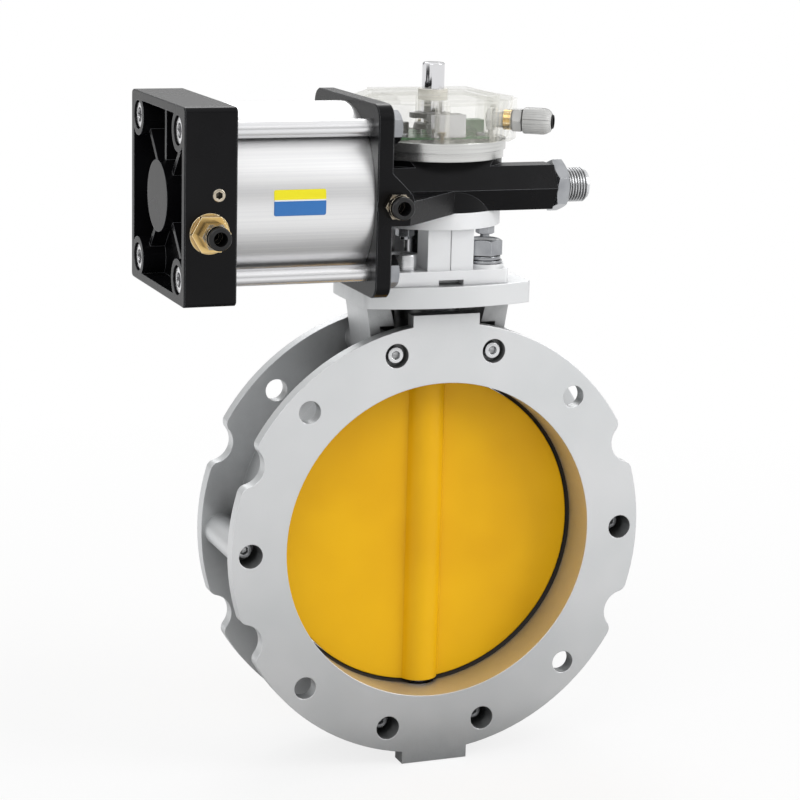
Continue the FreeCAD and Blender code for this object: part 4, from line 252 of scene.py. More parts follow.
def finish(name, light, dark, rough, metal=0.0, effect=grain, settings=None, bump=0.1,
           swing=0.08, worn_and_lit=None, edge=0.0005, gain=8.0, painted_shade=None, print_on=None,
           **shader_values):
    """A Principled material with the tone, roughness and bump of one effect group.

    The effect moves the roughness by swing around rough. Edges get a lighter
    colour, partly wear and partly a painted highlight, with edge as their
    radius and gain as their strength. The painted shade in corners is given as
    its reach and amount. A print_on function draws the colour in place of the
    two tones.
    """
    material, tree, shader = new_material(name)
    shader.inputs["Metallic"].default_value = metal
    for label, value in shader_values.items():
        shader.inputs[label.replace("_", " ")].default_value = value
    skin = placed(tree, effect, settings or {})
    slow = skin.outputs[1]
    rim = placed(tree, edges, {"Radius": edge, "Gain": gain})
    colour = print_on(tree) if print_on else toned(tree, slow, dark, light)
    # Edge colour: partly wear, partly a painted highlight.
    if worn_and_lit:
        colour = blended(tree, rim.outputs["Edge"], colour, worn_and_lit)
    # Painted shade in corners and recesses.
    if painted_shade:
        shaded = placed(tree, shade_in_corners, dict(zip(("Reach", "Amount"), painted_shade)))
        colour = blended(tree, shaded.outputs["Mask"], colour, PAINTED_SHADE_COLOUR)
    tree.links.new(colour, shader.inputs["Base Color"])
    vary = maths(tree, "MULTIPLY", slow, swing)
    tree.links.new(maths(tree, "ADD", vary, rough - swing / 2), shader.inputs["Roughness"])
    relief = tree.nodes.new("ShaderNodeBump")
    relief.inputs["Strength"].default_value = bump
    relief.inputs["Distance"].default_value = BUMP_DEPTH
    tree.links.new(skin.outputs["Height"], relief.inputs["Height"])
    tree.links.new(rim.outputs["Rounded"], relief.inputs["Normal"])
    tree.links.new(relief.outputs["Normal"], shader.inputs["Normal"])
    return material


def dress(material, *names):
    """Gives CAD pieces a material in every slot."""
    for name in names:
        mesh = nodes[name].data
        mesh.materials.clear()
        mesh.materials.append(material)
    print(material.name, "on", ", ".join(names))


# %% [markdown]
# ## The valve body
# The two halves of the body are die-cast aluminium with a fine satin skin. In
# the photo the flange face is an even light grey, so the two tones are close
# together and the bump is small.

# %% Cast aluminium
# The lighter edges are partly wear and partly a painted highlight, and a wide reach of painted
# shade darkens the counterbores and the space between the flanges.
cast_aluminium = finish("cast aluminium", shade(224, 225, 226), shade(217, 219, 220), 0.42,
                        metal=0.75, settings={"Scale": 1100.0, "Tone": 18.0}, bump=0.08,
                        worn_and_lit=shade(240, 240, 242), edge=0.0006, gain=5.0, painted_shade=(0.035, 0.85))
dress(cast_aluminium, "body_front_half", "body_rear_half", "bearing_plate")

# %% [markdown]
# The bracket was blasted with beads after casting. That leaves it whiter and
# more matt than the body, so it gets less metal and a rougher, finer skin.

# %% Blasted aluminium of the bracket
# Its lighter edges are partly wear and partly a painted highlight, with a little painted shade in
# its corners.
blasted_aluminium = finish("blasted aluminium", shade(236, 237, 238), shade(229, 230, 232), 0.46,
                           metal=0.45, settings={"Scale": 1500.0, "Tone": 30.0}, bump=0.1,
                           worn_and_lit=shade(246, 246, 247), edge=0.0005, gain=5.0, painted_shade=(0.003, 0.3))
dress(blasted_aluminium, "bracket")

# %% [markdown]
# ## The coated disc
# The disc has a golden yellow coating with a soft gloss. A slow change of tone
# and a slight ripple keep it from looking like flat plastic.

# %% Golden disc coating
disc_coating = finish("golden disc coating", shade(240, 184, 12), shade(231, 173, 8), 0.42,
                      settings={"Scale": 260.0, "Tone": 14.0}, bump=0.04, edge=0.0012,
                      Specular_IOR_Level=0.22)
dress(disc_coating, "disc")

# %% [markdown]
# ## Black castings
# The gear housing and the cylinder's end cap are cast and coated black. A
# middle roughness gives them broad soft highlights, and a low specular level
# keeps their faces as deep a black as in the photo.

# %% Black coating
# Its grey edges are partly rubbed bare and partly a painted highlight, and painted shade keeps the
# pockets dark.
black_coating = finish("black casting coat", shade(14, 14, 16), shade(8, 8, 10), 0.27,
                       settings={"Scale": 500.0, "Tone": 30.0}, bump=0.05,
                       worn_and_lit=shade(150, 152, 156), edge=0.0005, gain=4.0, painted_shade=(0.01, 0.6),
                       Specular_IOR_Level=0.15)
dress(black_coating, "gear_housing", "end_cap")

# %% [markdown]
# ## Metals that are drawn, turned or plated
# The cylinder tube and the tie bolts are drawn along X, so their lines run
# along X. Nuts and screws are zinc plated, with hardly any lines at all. Most
# of them show a greyer zinc, and the cap screws a brighter one.

# %% Drawn aluminium and steel, and zinc plate
ALONG_X = {"Stretch": (9.0, 2600.0, 2600.0)}
# Lighter edges on the zinc are partly wear and partly a painted highlight, and painted shade
# darkens sockets, threads and the corners under heads and nuts.
drawn_tube = finish("anodised tube", shade(238, 238, 238), shade(231, 231, 232), 0.3, metal=0.95,
                    effect=lines, settings=ALONG_X, bump=0.015, swing=0.04)
zinc_plate = finish("zinc plated steel", shade(176, 178, 181), shade(150, 152, 156), 0.24,
                    metal=1.0, settings={"Scale": 1500.0, "Tone": 60.0}, bump=0.03,
                    worn_and_lit=shade(228, 229, 232), edge=0.0003, gain=4.0, painted_shade=(0.003, 0.8))
drawn_rod = finish("drawn rod", shade(240, 240, 241), shade(228, 228, 230), 0.26, metal=0.95,
                   effect=lines, settings=ALONG_X, bump=0.01, swing=0.04, painted_shade=(0.003, 1.1))
bright_zinc = finish("bright zinc plate", shade(230, 231, 232), shade(214, 215, 217), 0.27,
                     metal=0.9, settings={"Scale": 1500.0, "Tone": 60.0}, bump=0.03,
                     worn_and_lit=shade(244, 244, 246), edge=0.0003, gain=4.0, painted_shade=(0.003, 1.1))
dress(drawn_tube, "cylinder_tube", "piston")
dress(zinc_plate, "body_screws", "bracket_bolts", "bracket_washers", "bracket_socket_screws",
      "collar_studs", "collar_nuts", "tie_bolts", "tie_nuts", "end_nipple", "retaining_ring",
      "base_screws", "board_screws", "piston_bolt", "disc_grub_screws")

# %% [markdown]
# The stems, the pinion and the rack are ground stainless steel. The spindle on
# top is chromed, so it is nearly a mirror and has almost no bump.

# %% Ground steel and chrome
ground_steel = finish("ground stainless steel", shade(206, 206, 208), shade(192, 192, 195), 0.2,
                      metal=1.0, effect=lines, settings={"Stretch": (1400.0, 1400.0, 30.0)},
                      bump=0.03)
bright_chrome = finish("bright chrome", shade(228, 228, 230), shade(220, 220, 222), 0.07,
                       metal=1.0, settings={"Scale": 300.0, "Tone": 40.0}, bump=0.002, swing=0.02)
dress(ground_steel, "upper_stem", "lower_stem", "stem_coupling", "pinion", "rack",
      "switch_plate", "switch_lever_closed", "switch_lever_open")
dress(bright_chrome, "indicator_spindle")

# %% [markdown]
# The hexagon bushing and the cover's screws are bare brass. The air fittings
# are brass under a thin layer of nickel, which lets a warm tone through. The
# bearings are bronze, browner and duller.

# %% Brass and bronze
# The lighter brass edges are partly wear and partly a painted highlight, and painted shade darkens
# the corners of hexagons and sockets.
bare_brass = finish("bare brass", shade(238, 208, 146), shade(220, 182, 112), 0.18, metal=1.0,
                    settings={"Scale": 900.0, "Tone": 60.0}, bump=0.03,
                    worn_and_lit=shade(250, 236, 204), edge=0.0006, gain=9.0, painted_shade=(0.003, 0.8))
plated_brass = finish("nickel plated brass", shade(212, 202, 184), shade(180, 166, 146), 0.16,
                      metal=1.0, settings={"Scale": 900.0, "Tone": 90.0}, bump=0.02,
                      worn_and_lit=shade(240, 232, 214), edge=0.0003, gain=4.0, painted_shade=(0.004, 1.3))
bearing_bronze = finish("bearing bronze", shade(176, 136, 88), shade(150, 110, 66), 0.36,
                        metal=1.0, bump=0.08)
dress(bare_brass, "cap_port_bushing", "cover_screws")
dress(plated_brass, "cap_port_fitting", "head_port_fitting", "bleed_screw")
dress(bearing_bronze, "upper_bushing", "lower_bushing", "lower_pinion_bush",
      "upper_pinion_bush", "left_rack_bush", "right_rack_bush")

# %% [markdown]
# The base of the switch box was turned on a lathe. The tool leaves rings round
# it, one above the other, so the pattern changes fast only with height.

# %% Turned aluminium
turned_base = finish("turned aluminium", shade(218, 218, 216), shade(206, 206, 204), 0.26,
                     metal=0.9, effect=lines, settings={"Stretch": (40.0, 40.0, 2600.0)},
                     bump=0.03, swing=0.05)
dress(turned_base, "switch_base")

# %% [markdown]
# ## Rubber, nylon and the circuit board
# These are dull surfaces: little gloss, a visible skin and no metal. Only the
# board has a thin clear lacquer, which is a coat on the shader.

# %% Rubber, plastics and board lacquer
seat_rubber = finish("seat rubber", shade(24, 24, 25), shade(16, 16, 17), 0.55,
                     settings={"Scale": 1100.0, "Tone": 60.0}, bump=0.15, Specular_IOR_Level=0.3)
black_plastic = finish("black moulding", shade(26, 26, 27), shade(18, 18, 19), 0.34,
                       settings={"Scale": 1300.0, "Tone": 80.0}, bump=0.08, edge=0.0004,
                       Specular_IOR_Level=0.4)
guide_plastic = finish("white guide moulding", shade(232, 229, 220), shade(220, 216, 205), 0.45)
# Painted shade darkens the grooves between the gland's ribs.
grey_nylon = finish("grey nylon", shade(206, 206, 204), shade(192, 192, 190), 0.42,
                    settings={"Scale": 1400.0, "Tone": 70.0}, bump=0.12, painted_shade=(0.0015, 0.7))
board_green = finish("board lacquer", shade(22, 112, 46), shade(12, 84, 30), 0.28,
                     settings={"Scale": 500.0, "Tone": 260.0}, bump=0.08, Coat_Weight=0.4)
dress(seat_rubber, "seat_ring", "stem_seals", "tube_seals", "piston_seals")
dress(black_plastic, "cap_port_release_collar", "head_port_release_collar", "microswitches",
      "switch_cams")
dress(guide_plastic, "piston_guide_ring", "spindle_bush")
dress(grey_nylon, "gland_body", "gland_nut", "gland_locknut")
dress(board_green, "circuit_board", "terminal_block")

# %% [markdown]
# ## The clear cover of the switch box
# The cover is clear polycarbonate that has yellowed a little. A transparent
# share lets the board show through, and Layer Weight makes the walls denser
# where they are seen at a flat angle, as thick plastic does. Clear plastic
# hardly shades what is under it, so Light Path opens it for shadow rays.

# %% Clear cover
FACE_ON, EDGE_ON = 0.07, 0.44
OPENED_TO_LIGHT = 0.6
cover_clear, tree, shader = new_material("clear cover")
shader.inputs["Roughness"].default_value = 0.08
shader.inputs["IOR"].default_value = 1.45
skin = placed(tree, grain, {"Scale": 500.0, "Tone": 30.0})
tint = toned(tree, skin.outputs["Patches"], shade(250, 248, 232), shade(254, 253, 246), 0.0, 1.0)
tree.links.new(tint, shader.inputs["Base Color"])
facing = tree.nodes.new("ShaderNodeLayerWeight")
facing.inputs["Blend"].default_value = 0.3
denser = maths(tree, "MULTIPLY", facing.outputs["Facing"], EDGE_ON)
denser = maths(tree, "ADD", denser, FACE_ON)
rays = tree.nodes.new("ShaderNodeLightPath")
passing = maths(tree, "MAXIMUM", rays.outputs["Is Shadow Ray"], rays.outputs["Is Diffuse Ray"])
held = maths(tree, "SUBTRACT", 1.0, maths(tree, "MULTIPLY", passing, OPENED_TO_LIGHT))
tree.links.new(maths(tree, "MULTIPLY", denser, held), shader.inputs["Alpha"])
dress(cover_clear, "switch_cover")

# %% [markdown]
# ## Tools for the small pieces
# Chamfered hexagons, a real thread or the ribs of a gland nut are easier here
# than in CAD. They are modelled as by hand: a primitive at its size, then
# extrude, inset and bevel in edit mode, and a modifier where two shapes meet.
# Sizes are in millimetres, as in the CAD, and one factor makes them metres.

# %% Helpers to select and to apply
MM = 0.001


def bare():
    """Object mode with nothing selected."""
    if bpy.context.mode != "OBJECT":
        bpy.ops.object.mode_set(mode="OBJECT")
    bpy.ops.object.select_all(action="DESELECT")


def choose(piece):
    """Makes one piece the only selected and the active one."""
    bare()
    piece.select_set(True)
    bpy.context.view_layer.objects.active = piece


def pick(piece, kind, test):
    """Edit mode with only the verts, edges or faces that pass a test selected."""
    choose(piece)
    bpy.ops.object.mode_set(mode="EDIT")
    bpy.ops.mesh.select_mode(type={"verts": "VERT", "edges": "EDGE", "faces": "FACE"}[kind])
    bpy.ops.mesh.select_all(action="DESELECT")
    mesh = bmesh.from_edit_mesh(piece.data)
    for part in getattr(mesh, kind):
        if test(part):
            part.select_set(True)
    bmesh.update_edit_mesh(piece.data)


def shape_with(piece, kind, **settings):
    """Adds one modifier with its settings and applies it."""
    choose(piece)
    bpy.ops.object.modifier_add(type=kind)
    modifier = piece.modifiers[-1]
    for label, value in settings.items():
        setattr(modifier, label, value)
    bpy.ops.object.modifier_apply(modifier=modifier.name)


def combine(piece, tool, operation):
    """Cuts a second bar away, adds it, or keeps what both share. The second bar goes."""
    shape_with(piece, "BOOLEAN", operation=operation, object=tool, solver="EXACT")
    bpy.data.objects.remove(tool)
    return piece


# %% [markdown]
# Most small pieces are turned, so they start as an upright bar that grows at
# its ends: each step extrudes an end and makes the new end wider or narrower.

# %% Helpers for bars
def round_bar(radius, low, high, sides=64):
    """An upright bar on the Z axis between two heights."""
    bare()
    bpy.ops.mesh.primitive_cylinder_add(vertices=sides, radius=radius * MM,
                                        depth=(high - low) * MM,
                                        location=(0, 0, (low + high) / 2 * MM))
    bpy.ops.object.transform_apply()
    return bpy.context.object


def end_face(way):
    """A test for the end of an upright bar: way is 1 for the top, -1 for the foot."""
    return lambda face: face.normal.z * way > 0.99


def end_rim(height):
    """A test for the edges round the end of a bar at one height."""
    return lambda edge: all(abs(vert.co.z - height * MM) < 1e-6 for vert in edge.verts)


def stretch(height, share=1.0):
    """Extrudes the selected end along Z, and makes its new end narrower or wider."""
    bpy.ops.mesh.extrude_region_move(TRANSFORM_OT_translate={"value": (0, 0, height * MM)})
    bpy.ops.transform.resize(value=(share, share, 1))


def grow(piece, way, *steps):
    """Extrudes one end of a bar outwards, step by step, by a height and a width share."""
    pick(piece, "faces", end_face(way))
    for rise, share in steps:
        stretch(way * rise, share)
    bare()


def push_ribs(piece, sides, height):
    """Pushes out every other side face of a bar that has this many sides."""
    pick(piece, "faces", lambda face: abs(face.normal.z) < 0.1
         and round(degrees(atan2(face.normal.y, face.normal.x)) / (360 / sides)) % 2 == 0)
    bpy.ops.mesh.extrude_faces_move(TRANSFORM_OT_shrink_fatten={"value": height * MM})
    bare()


# %% [markdown]
# A finished piece is moved to its place with the change kept in its mesh, so
# that its origin stays at the valve's own. Repeated pieces are modelled once
# and copied, each copy with its own mesh.

# %% Helpers to put pieces in place
def stand(piece, at=(0, 0, 0), turn=(0, 0, 0)):
    """Turns and moves a piece, with the change kept in its mesh."""
    choose(piece)
    piece.location = [c * MM for c in at]
    piece.rotation_euler = [radians(angle) for angle in turn]
    bpy.ops.object.transform_apply()
    return piece


def another(pattern):
    """A copy of a finished shape, with its own mesh."""
    choose(pattern)
    bpy.ops.object.duplicate()
    return bpy.context.object


def settle(piece, name, material, slot, at=(0, 0, 0), turn=(0, 0, 0), body="valve", smooth=28):
    """Puts a piece in place, closes its seams, and gives it name, finish and body."""
    stand(piece, at, turn)
    bpy.ops.object.mode_set(mode="EDIT")
    bpy.ops.mesh.select_all(action="SELECT")
    bpy.ops.mesh.remove_doubles(threshold=1e-6)
    bpy.ops.mesh.normals_make_consistent(inside=False)
    bpy.ops.object.mode_set(mode="OBJECT")
    bpy.ops.object.shade_smooth_by_angle(angle=radians(smooth))
    piece.name = piece.data.name = name
    piece.data.materials.clear()
    piece.data.materials.append(material)
    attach(piece, body)
    corners = [[round(pick_end(v.co[axis] for v in piece.data.vertices) / MM, 1)
                for axis in range(3)] for pick_end in (min, max)]
    print(name, len(piece.data.polygons), "faces, in millimetres from", *corners)
    return piece


def set_out(pattern, places, material, slot, turn=(0, 0, 0), instead_of=None):
    """Copies a shape to each named place, and takes the pattern itself away."""
    for name, at in places.items():
        piece = settle(another(pattern), name, material, slot, at, turn)
        if instead_of:
            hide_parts(instead_of)
    bpy.data.objects.remove(pattern)


# %% [markdown]
# ## Hexagon bolts, nuts and washers
# A hexagon bolt head is turned before it is milled, so its corners are cut off
# by a shallow cone. The same order works here: a hexagonal bar keeps only what
# it shares with a round bar that has coned ends.

# %% A hexagon with turned corners
CONE_SLOPE, CONE_END, HAIR_WIDER = 0.6, 0.48, 1.002


def corner_radius(flats):
    """The distance from the middle of a hexagon to a corner, from its width over flats."""
    return flats / 2 / cos(radians(30))


def hexagon_blank(flats, height, ends=(1, -1)):
    """An upright hexagon from Z = 0 up, with the corners turned off at its ends.

    The round bar is a hair wider than the corners, which stay whole between the cones.
    """
    corner = corner_radius(flats)
    drop = (corner - flats / 2) * CONE_SLOPE
    bar = round_bar(corner * HAIR_WIDER, drop if -1 in ends else 0, height - drop, 72)
    for way in ends:
        grow(bar, way, (drop, flats * CONE_END / corner))
    return combine(round_bar(corner, -1, height + 1, 6), bar, "INTERSECT")


def drilled(piece, radius, height):
    """A hole through a nut, with a small countersink at both ends."""
    sink = 0.7
    drill = round_bar(radius, 0.5, height - 0.5, 48)
    for way in (1, -1):
        grow(drill, way, (sink, (radius + sink) / radius))
    return combine(piece, drill, "DIFFERENCE")


# %% The two big bolts of the bracket
BOLT_SPOTS = {"right": (26, 7), "left": (-26, 59)}
WASHER_FOOT, SPRING_FOOT, HEAD_FOOT = 172.6, 174.6, 177.6
bolt = hexagon_blank(19, 9.5, ends=(1,))
pick(bolt, "faces", end_face(1))
bpy.ops.mesh.inset(thickness=1.4 * MM)
stretch(-0.35, 0.97)
shank = round_bar(6, -27.3, 0.5, 48)
grow(shank, -1, (1.0, 0.85))
bolt = combine(bolt, shank, "UNION")
set_out(bolt, {f"bracket_bolt_{side}": (*spot, HEAD_FOOT) for side, spot in BOLT_SPOTS.items()},
        zinc_plate, "zinc_steel", instead_of="bracket_bolts")

# %% [markdown]
# Under each bolt lie a flat washer and a split spring washer. The spring washer
# is a bar of square wire that goes once round a helix and stops short of its
# own start. The Screw modifier winds it, and the two cut ends are then closed.

# %% Helpers to wind a profile
def profile(out, up, wide, tall):
    """An upright rectangle beside the Z axis."""
    bare()
    bpy.ops.mesh.primitive_plane_add(size=1, location=(out * MM, 0, up * MM),
                                     rotation=(radians(90), 0, 0))
    piece = bpy.context.object
    piece.scale = (wide * MM, tall * MM, 1)
    bpy.ops.object.transform_apply()
    return piece


def wind(piece, angle, rise, steps, turns=1):
    """Winds the outline of a profile round the Z axis and closes its two ends."""
    pick(piece, "faces", lambda face: True)
    bpy.ops.mesh.delete(type="ONLY_FACE")
    shape_with(piece, "SCREW", axis="Z", angle=radians(angle), screw_offset=rise * MM,
               steps=steps, render_steps=steps, iterations=turns)
    bpy.ops.object.mode_set(mode="EDIT")
    bpy.ops.mesh.select_all(action="SELECT")
    bpy.ops.mesh.fill_holes(sides=0)
    bare()


# %% Flat and spring washers
washer = round_bar(11, 0.3, 1.7, 72)
for way in (1, -1):
    grow(washer, way, (0.3, 10.7 / 11))
washer = combine(washer, round_bar(6.4, -1, 3, 64), "DIFFERENCE")

spring = profile(out=8.2, up=1.2, wide=3.6, tall=2.3)
pick(spring, "verts", lambda vert: True)
bpy.ops.mesh.bevel(offset=0.25 * MM, segments=2, affect="VERTICES")
wind(spring, angle=350, rise=0.6, steps=60)

for (side, spot), gap in zip(BOLT_SPOTS.items(), (200, 35)):
    flat = settle(another(washer), f"flat_washer_{side}", zinc_plate, "zinc_steel",
                  (*spot, WASHER_FOOT))
    coil = settle(another(spring), f"spring_washer_{side}", zinc_plate, "zinc_steel",
                  (*spot, SPRING_FOOT), (0, 0, gap))
    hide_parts("bracket_washers")
    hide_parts("bracket_washers")
bpy.data.objects.remove(washer)
bpy.data.objects.remove(spring)

# %% [markdown]
# Nuts are the same hexagon with a hole through it. Four small ones sit under
# the bracket's collar, in a square round the stem. Four larger ones hold the
# tie bolts, in a square round the cylinder's axis.

# %% Nuts of the collar
STEM_DEPTH = 33
COLLAR_STEP, COLLAR_FOOT = 26.02, 190.3
CORNERS = ((1, 1), (-1, 1), (-1, -1), (1, -1))
spots = {f"collar_nut_{k}": (east * COLLAR_STEP, STEM_DEPTH + away * COLLAR_STEP, COLLAR_FOOT)
         for k, (east, away) in enumerate(CORNERS, 1)}
nut = drilled(hexagon_blank(flats=10, height=5), radius=2.9, height=5)
set_out(nut, spots, zinc_plate, "zinc_steel", instead_of="collar_nuts")

# %% Nuts of the tie bolts
AXIS_DEPTH, AXIS_HEIGHT = 5, 218.8
TIE_STEP = 42
NUT_SEAT, HEAD_SEAT = -56.4, -169


def tie_places(name, x):
    """Four numbered places round the cylinder's axis, at one X."""
    return {f"{name}_{k}": (x, AXIS_DEPTH + away * TIE_STEP, AXIS_HEIGHT + up * TIE_STEP)
            for k, (away, up) in enumerate(CORNERS, 1)}


nut = drilled(hexagon_blank(flats=17, height=7.4), radius=5.05, height=7.4)
set_out(stand(nut, turn=(0, 0, 30)), tie_places("tie_nut", NUT_SEAT), zinc_plate, "zinc_steel",
        (0, 90, 0), "tie_nuts")

# %% [markdown]
# ## Socket screws
# Six cap screws clamp the body, four long ones tie the cylinder together and
# two low ones hold the bracket. All have a round head with a broken rim and a
# hexagon socket, so one function makes them at their sizes. The socket is deep
# enough to fall dark, as in the photo.

# %% A socket screw
BROKEN_RIM, SOCKET_FLOOR = 0.12, 0.45


def socket_screw(head, height, flats, shank, length):
    """A cap screw whose head stands on Z = 0, with its shank below.

    Head and shank are radii, and flats is the width of the key. The last
    millimetre of the shank is coned.
    """
    screw = round_bar(head, 0, height, 72)
    pick(screw, "edges", end_rim(height))
    bpy.ops.mesh.bevel(offset=BROKEN_RIM * head * MM, segments=3, affect="EDGES")
    pick(screw, "faces", end_face(-1))
    bpy.ops.mesh.inset(thickness=(head - shank) * MM)
    stretch(1 - length)
    stretch(-1, 0.8)
    corner = corner_radius(flats)
    key = round_bar(corner, height * SOCKET_FLOOR, height + 1, 6)
    grow(key, -1, (corner * 0.3, 0.3))
    sink = corner * 0.15
    rim = round_bar(corner * 0.92, height - sink, height, 48)
    grow(rim, 1, (sink, 1.3))
    return combine(combine(screw, key, "DIFFERENCE"), rim, "DIFFERENCE")


# %% Screws of the body
TIP_DEPTH = 55
BODY_SCREWS = [(-31.705, 8, 118.326), (31.705, 8, 118.326), (-31.705, 20, -118.326),
               (31.705, 20, -118.326), (-122.5, 20, 0), (122.5, 20, 0)]
for depth in (8, 20):
    spots = {f"body_screw_{k}": at for k, at in enumerate(BODY_SCREWS, 1) if at[1] == depth}
    screw = socket_screw(head=5, height=6, flats=5, shank=3, length=TIP_DEPTH - depth)
    set_out(screw, spots, bright_zinc, "zinc_steel", (90, 0, 0), "body_screws")

# %% Tie bolts of the cylinder and low screws of the bracket
screw = socket_screw(head=8, height=10, flats=8, shank=5, length=120.6)
set_out(screw, tie_places("tie_bolt", HEAD_SEAT), drawn_rod, "zinc_steel", (0, -90, 0),
        "tie_bolts")
LOW_SEAT = 169.9
spots = {"bracket_screw_left": (-26, 7, LOW_SEAT), "bracket_screw_right": (26, 59, LOW_SEAT)}
screw = socket_screw(head=8, height=10, flats=8, shank=5, length=20.6)
set_out(screw, spots, bright_zinc, "zinc_steel", instead_of="bracket_socket_screws")

# %% [markdown]
# ## The threaded nipple
# The bar ends in a nipple with a half inch pipe thread. A thread is a ridge
# that winds round a core, so a narrow ridge profile is wound by the Screw
# modifier, seven turns at the true pitch, and lies on a core a little thinner.

# %% Hexagon and core
NIPPLE = {"at": (66, AXIS_DEPTH, AXIS_HEIGHT), "turn": (0, 90, 0)}
CORE = 9.3
hexagon = combine(hexagon_blank(28, 8.5), round_bar(CORE, -1, 10, 64), "DIFFERENCE")
hexagon = settle(stand(hexagon, turn=(0, 0, 38)), "nipple_hexagon", zinc_plate, "zinc_steel",
                 **NIPPLE)
core = round_bar(CORE, -5, 22.5, 72)
grow(core, 1, (1.5, 8.9 / CORE))
core = combine(core, round_bar(8, -6, 25, 64), "DIFFERENCE")

# %% The thread
PITCH = 1.814
thread = profile(out=9.85, up=9.4, wide=1.2, tall=1.7)
pick(thread, "verts", lambda vert: vert.co.x > 10 * MM)
bpy.ops.transform.resize(value=(1, 1, 0.22))
wind(thread, angle=360, rise=PITCH, steps=48, turns=7)
choose(core)
thread.select_set(True)
bpy.ops.object.join()
core = settle(core, "nipple_thread", bright_zinc, "zinc_steel", **NIPPLE)
for piece in (hexagon, core):
    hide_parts("end_nipple")

# %% [markdown]
# ## The cable gland
# The gland's nut has ribs to grip it by, and closes in a dome over a rubber
# seal. Every other face of a many-sided bar is pushed out to make the ribs. A
# brass insert is moulded into the clear cover to take the gland's thread.

# %% The ribbed nut
GLAND = {"at": (41.06, 4.46, 259), "turn": (0, 90, -34.8)}
nut = round_bar(7.55, 7.6, 18.6, 32)
push_ribs(nut, 32, 0.42)
grow(nut, 1, (0.8, 0.985), (1.6, 0.955), (1.6, 0.86), (1.2, 0.74))
grow(nut, -1, (0.8, 0.97))
nut = combine(nut, round_bar(5, 5, 18, 48), "DIFFERENCE")
nut = combine(nut, round_bar(4.5, 17, 26, 48), "DIFFERENCE")
settle(nut, "gland_ribbed_nut", grey_nylon, "grey_nylon", smooth=35, **GLAND)
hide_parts("gland_nut")

# %% The hexagon, the seal and the insert
CABLE = 3.3
hexagon = combine(hexagon_blank(13, 6), round_bar(5, -16, 18, 48), "UNION")
hexagon = combine(hexagon, round_bar(CABLE, -18, 20, 48), "DIFFERENCE")
settle(hexagon, "gland_hexagon", grey_nylon, "grey_nylon", **GLAND)
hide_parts("gland_body")
seal = round_bar(4.45, 18.1, 23.8, 48)
grow(seal, 1, (0.9, 0.9))
seal = combine(seal, round_bar(CABLE, 17, 26, 48), "DIFFERENCE")
settle(seal, "gland_seal", seat_rubber, "seat_rubber", **GLAND)
insert = round_bar(5.9, -5.4, -0.4, 48)
push_ribs(insert, 48, 0.25)
insert = combine(insert, round_bar(5.02, -7, 1, 48), "DIFFERENCE")
settle(insert, "gland_insert", bare_brass, "bare_brass", **GLAND)

# %% [markdown]
# ## Seals in the air fittings
# An air tube is pushed through the release collar onto a rubber seal. The seal
# is what shows black at the bottom of the socket.

# %% Fitting seals
SEAL_DEPTH = 9.9
seal = round_bar(5.05, 0.3, 2.1, 48)
for way in (1, -1):
    grow(seal, way, (0.3, 0.95))
seal = combine(seal, round_bar(3.1, -1, 3, 40), "DIFFERENCE")
seal = combine(seal, round_bar(4.15, 0.9, 3, 48), "DIFFERENCE")
set_out(seal, {"cap_fitting_seal": (-165.6, -69 + SEAL_DEPTH, 204.8),
               "head_fitting_seal": (-54.5, -60 + SEAL_DEPTH, 217.3)},
        seat_rubber, "seat_rubber", (90, 0, 0))

# %% [markdown]
# Above the cap's fitting sits a small screw with a deep socket. It closes an
# opening that lets trapped air out. Its rim is broken and its socket is dark.

# %% The small screw of the cap
small = round_bar(3.7, -5, 0.6, 48)
pick(small, "edges", end_rim(0.6))
bpy.ops.mesh.bevel(offset=0.5 * MM, segments=3, affect="EDGES")
small = combine(small, round_bar(2.2, -3.4, 2, 6), "DIFFERENCE")
settle(small, "cap_vent_screw", plated_brass, "plated_brass", (-160, -51, 226), (90, 0, 0))
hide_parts("bleed_screw")

# %% [markdown]
# ## The label plate
# A small printed film is stuck to the front of the cylinder. It carries no
# words here, only its two colours. It is a piece of the tube's own curve: the
# wall of a slightly wider cylinder, cut down to the plate, with round corners.

# %% Print in two colours
PRINT_FOOT, PRINT_TOP = 0.2125, 0.228
WHITE_FROM, YELLOW_FROM = 0.56, 0.61


def ranged(tree, value, start, end, low=0.0, high=1.0):
    """A Map Range node that takes start to low and end to high."""
    node = tree.nodes.new("ShaderNodeMapRange")
    for label, number in zip(("From Min", "From Max", "To Min", "To Max"),
                             (start, end, low, high)):
        node.inputs[label].default_value = number
    tree.links.new(value, node.inputs["Value"])
    return node.outputs["Result"]


def two_colours(tree):
    """Yellow over blue with a thin white line between, by height on the valve."""
    split = tree.nodes.new("ShaderNodeSeparateXYZ")
    tree.links.new(object_place(tree), split.inputs["Vector"])
    bands = tree.nodes.new("ShaderNodeValToRGB")
    bands.color_ramp.interpolation = "CONSTANT"
    bands.color_ramp.elements[0].color = shade(44, 112, 182)
    bands.color_ramp.elements[1].position = WHITE_FROM
    bands.color_ramp.elements[1].color = shade(236, 236, 234)
    bands.color_ramp.elements.new(YELLOW_FROM).color = shade(238, 226, 24)
    tree.links.new(ranged(tree, split.outputs["Z"], PRINT_FOOT, PRINT_TOP), bands.inputs["Fac"])
    return bands.outputs["Color"]


label_film = finish("printed label film", None, None, 0.32, bump=0.02,
                    settings={"Scale": 900.0, "Tone": 120.0}, print_on=two_colours)

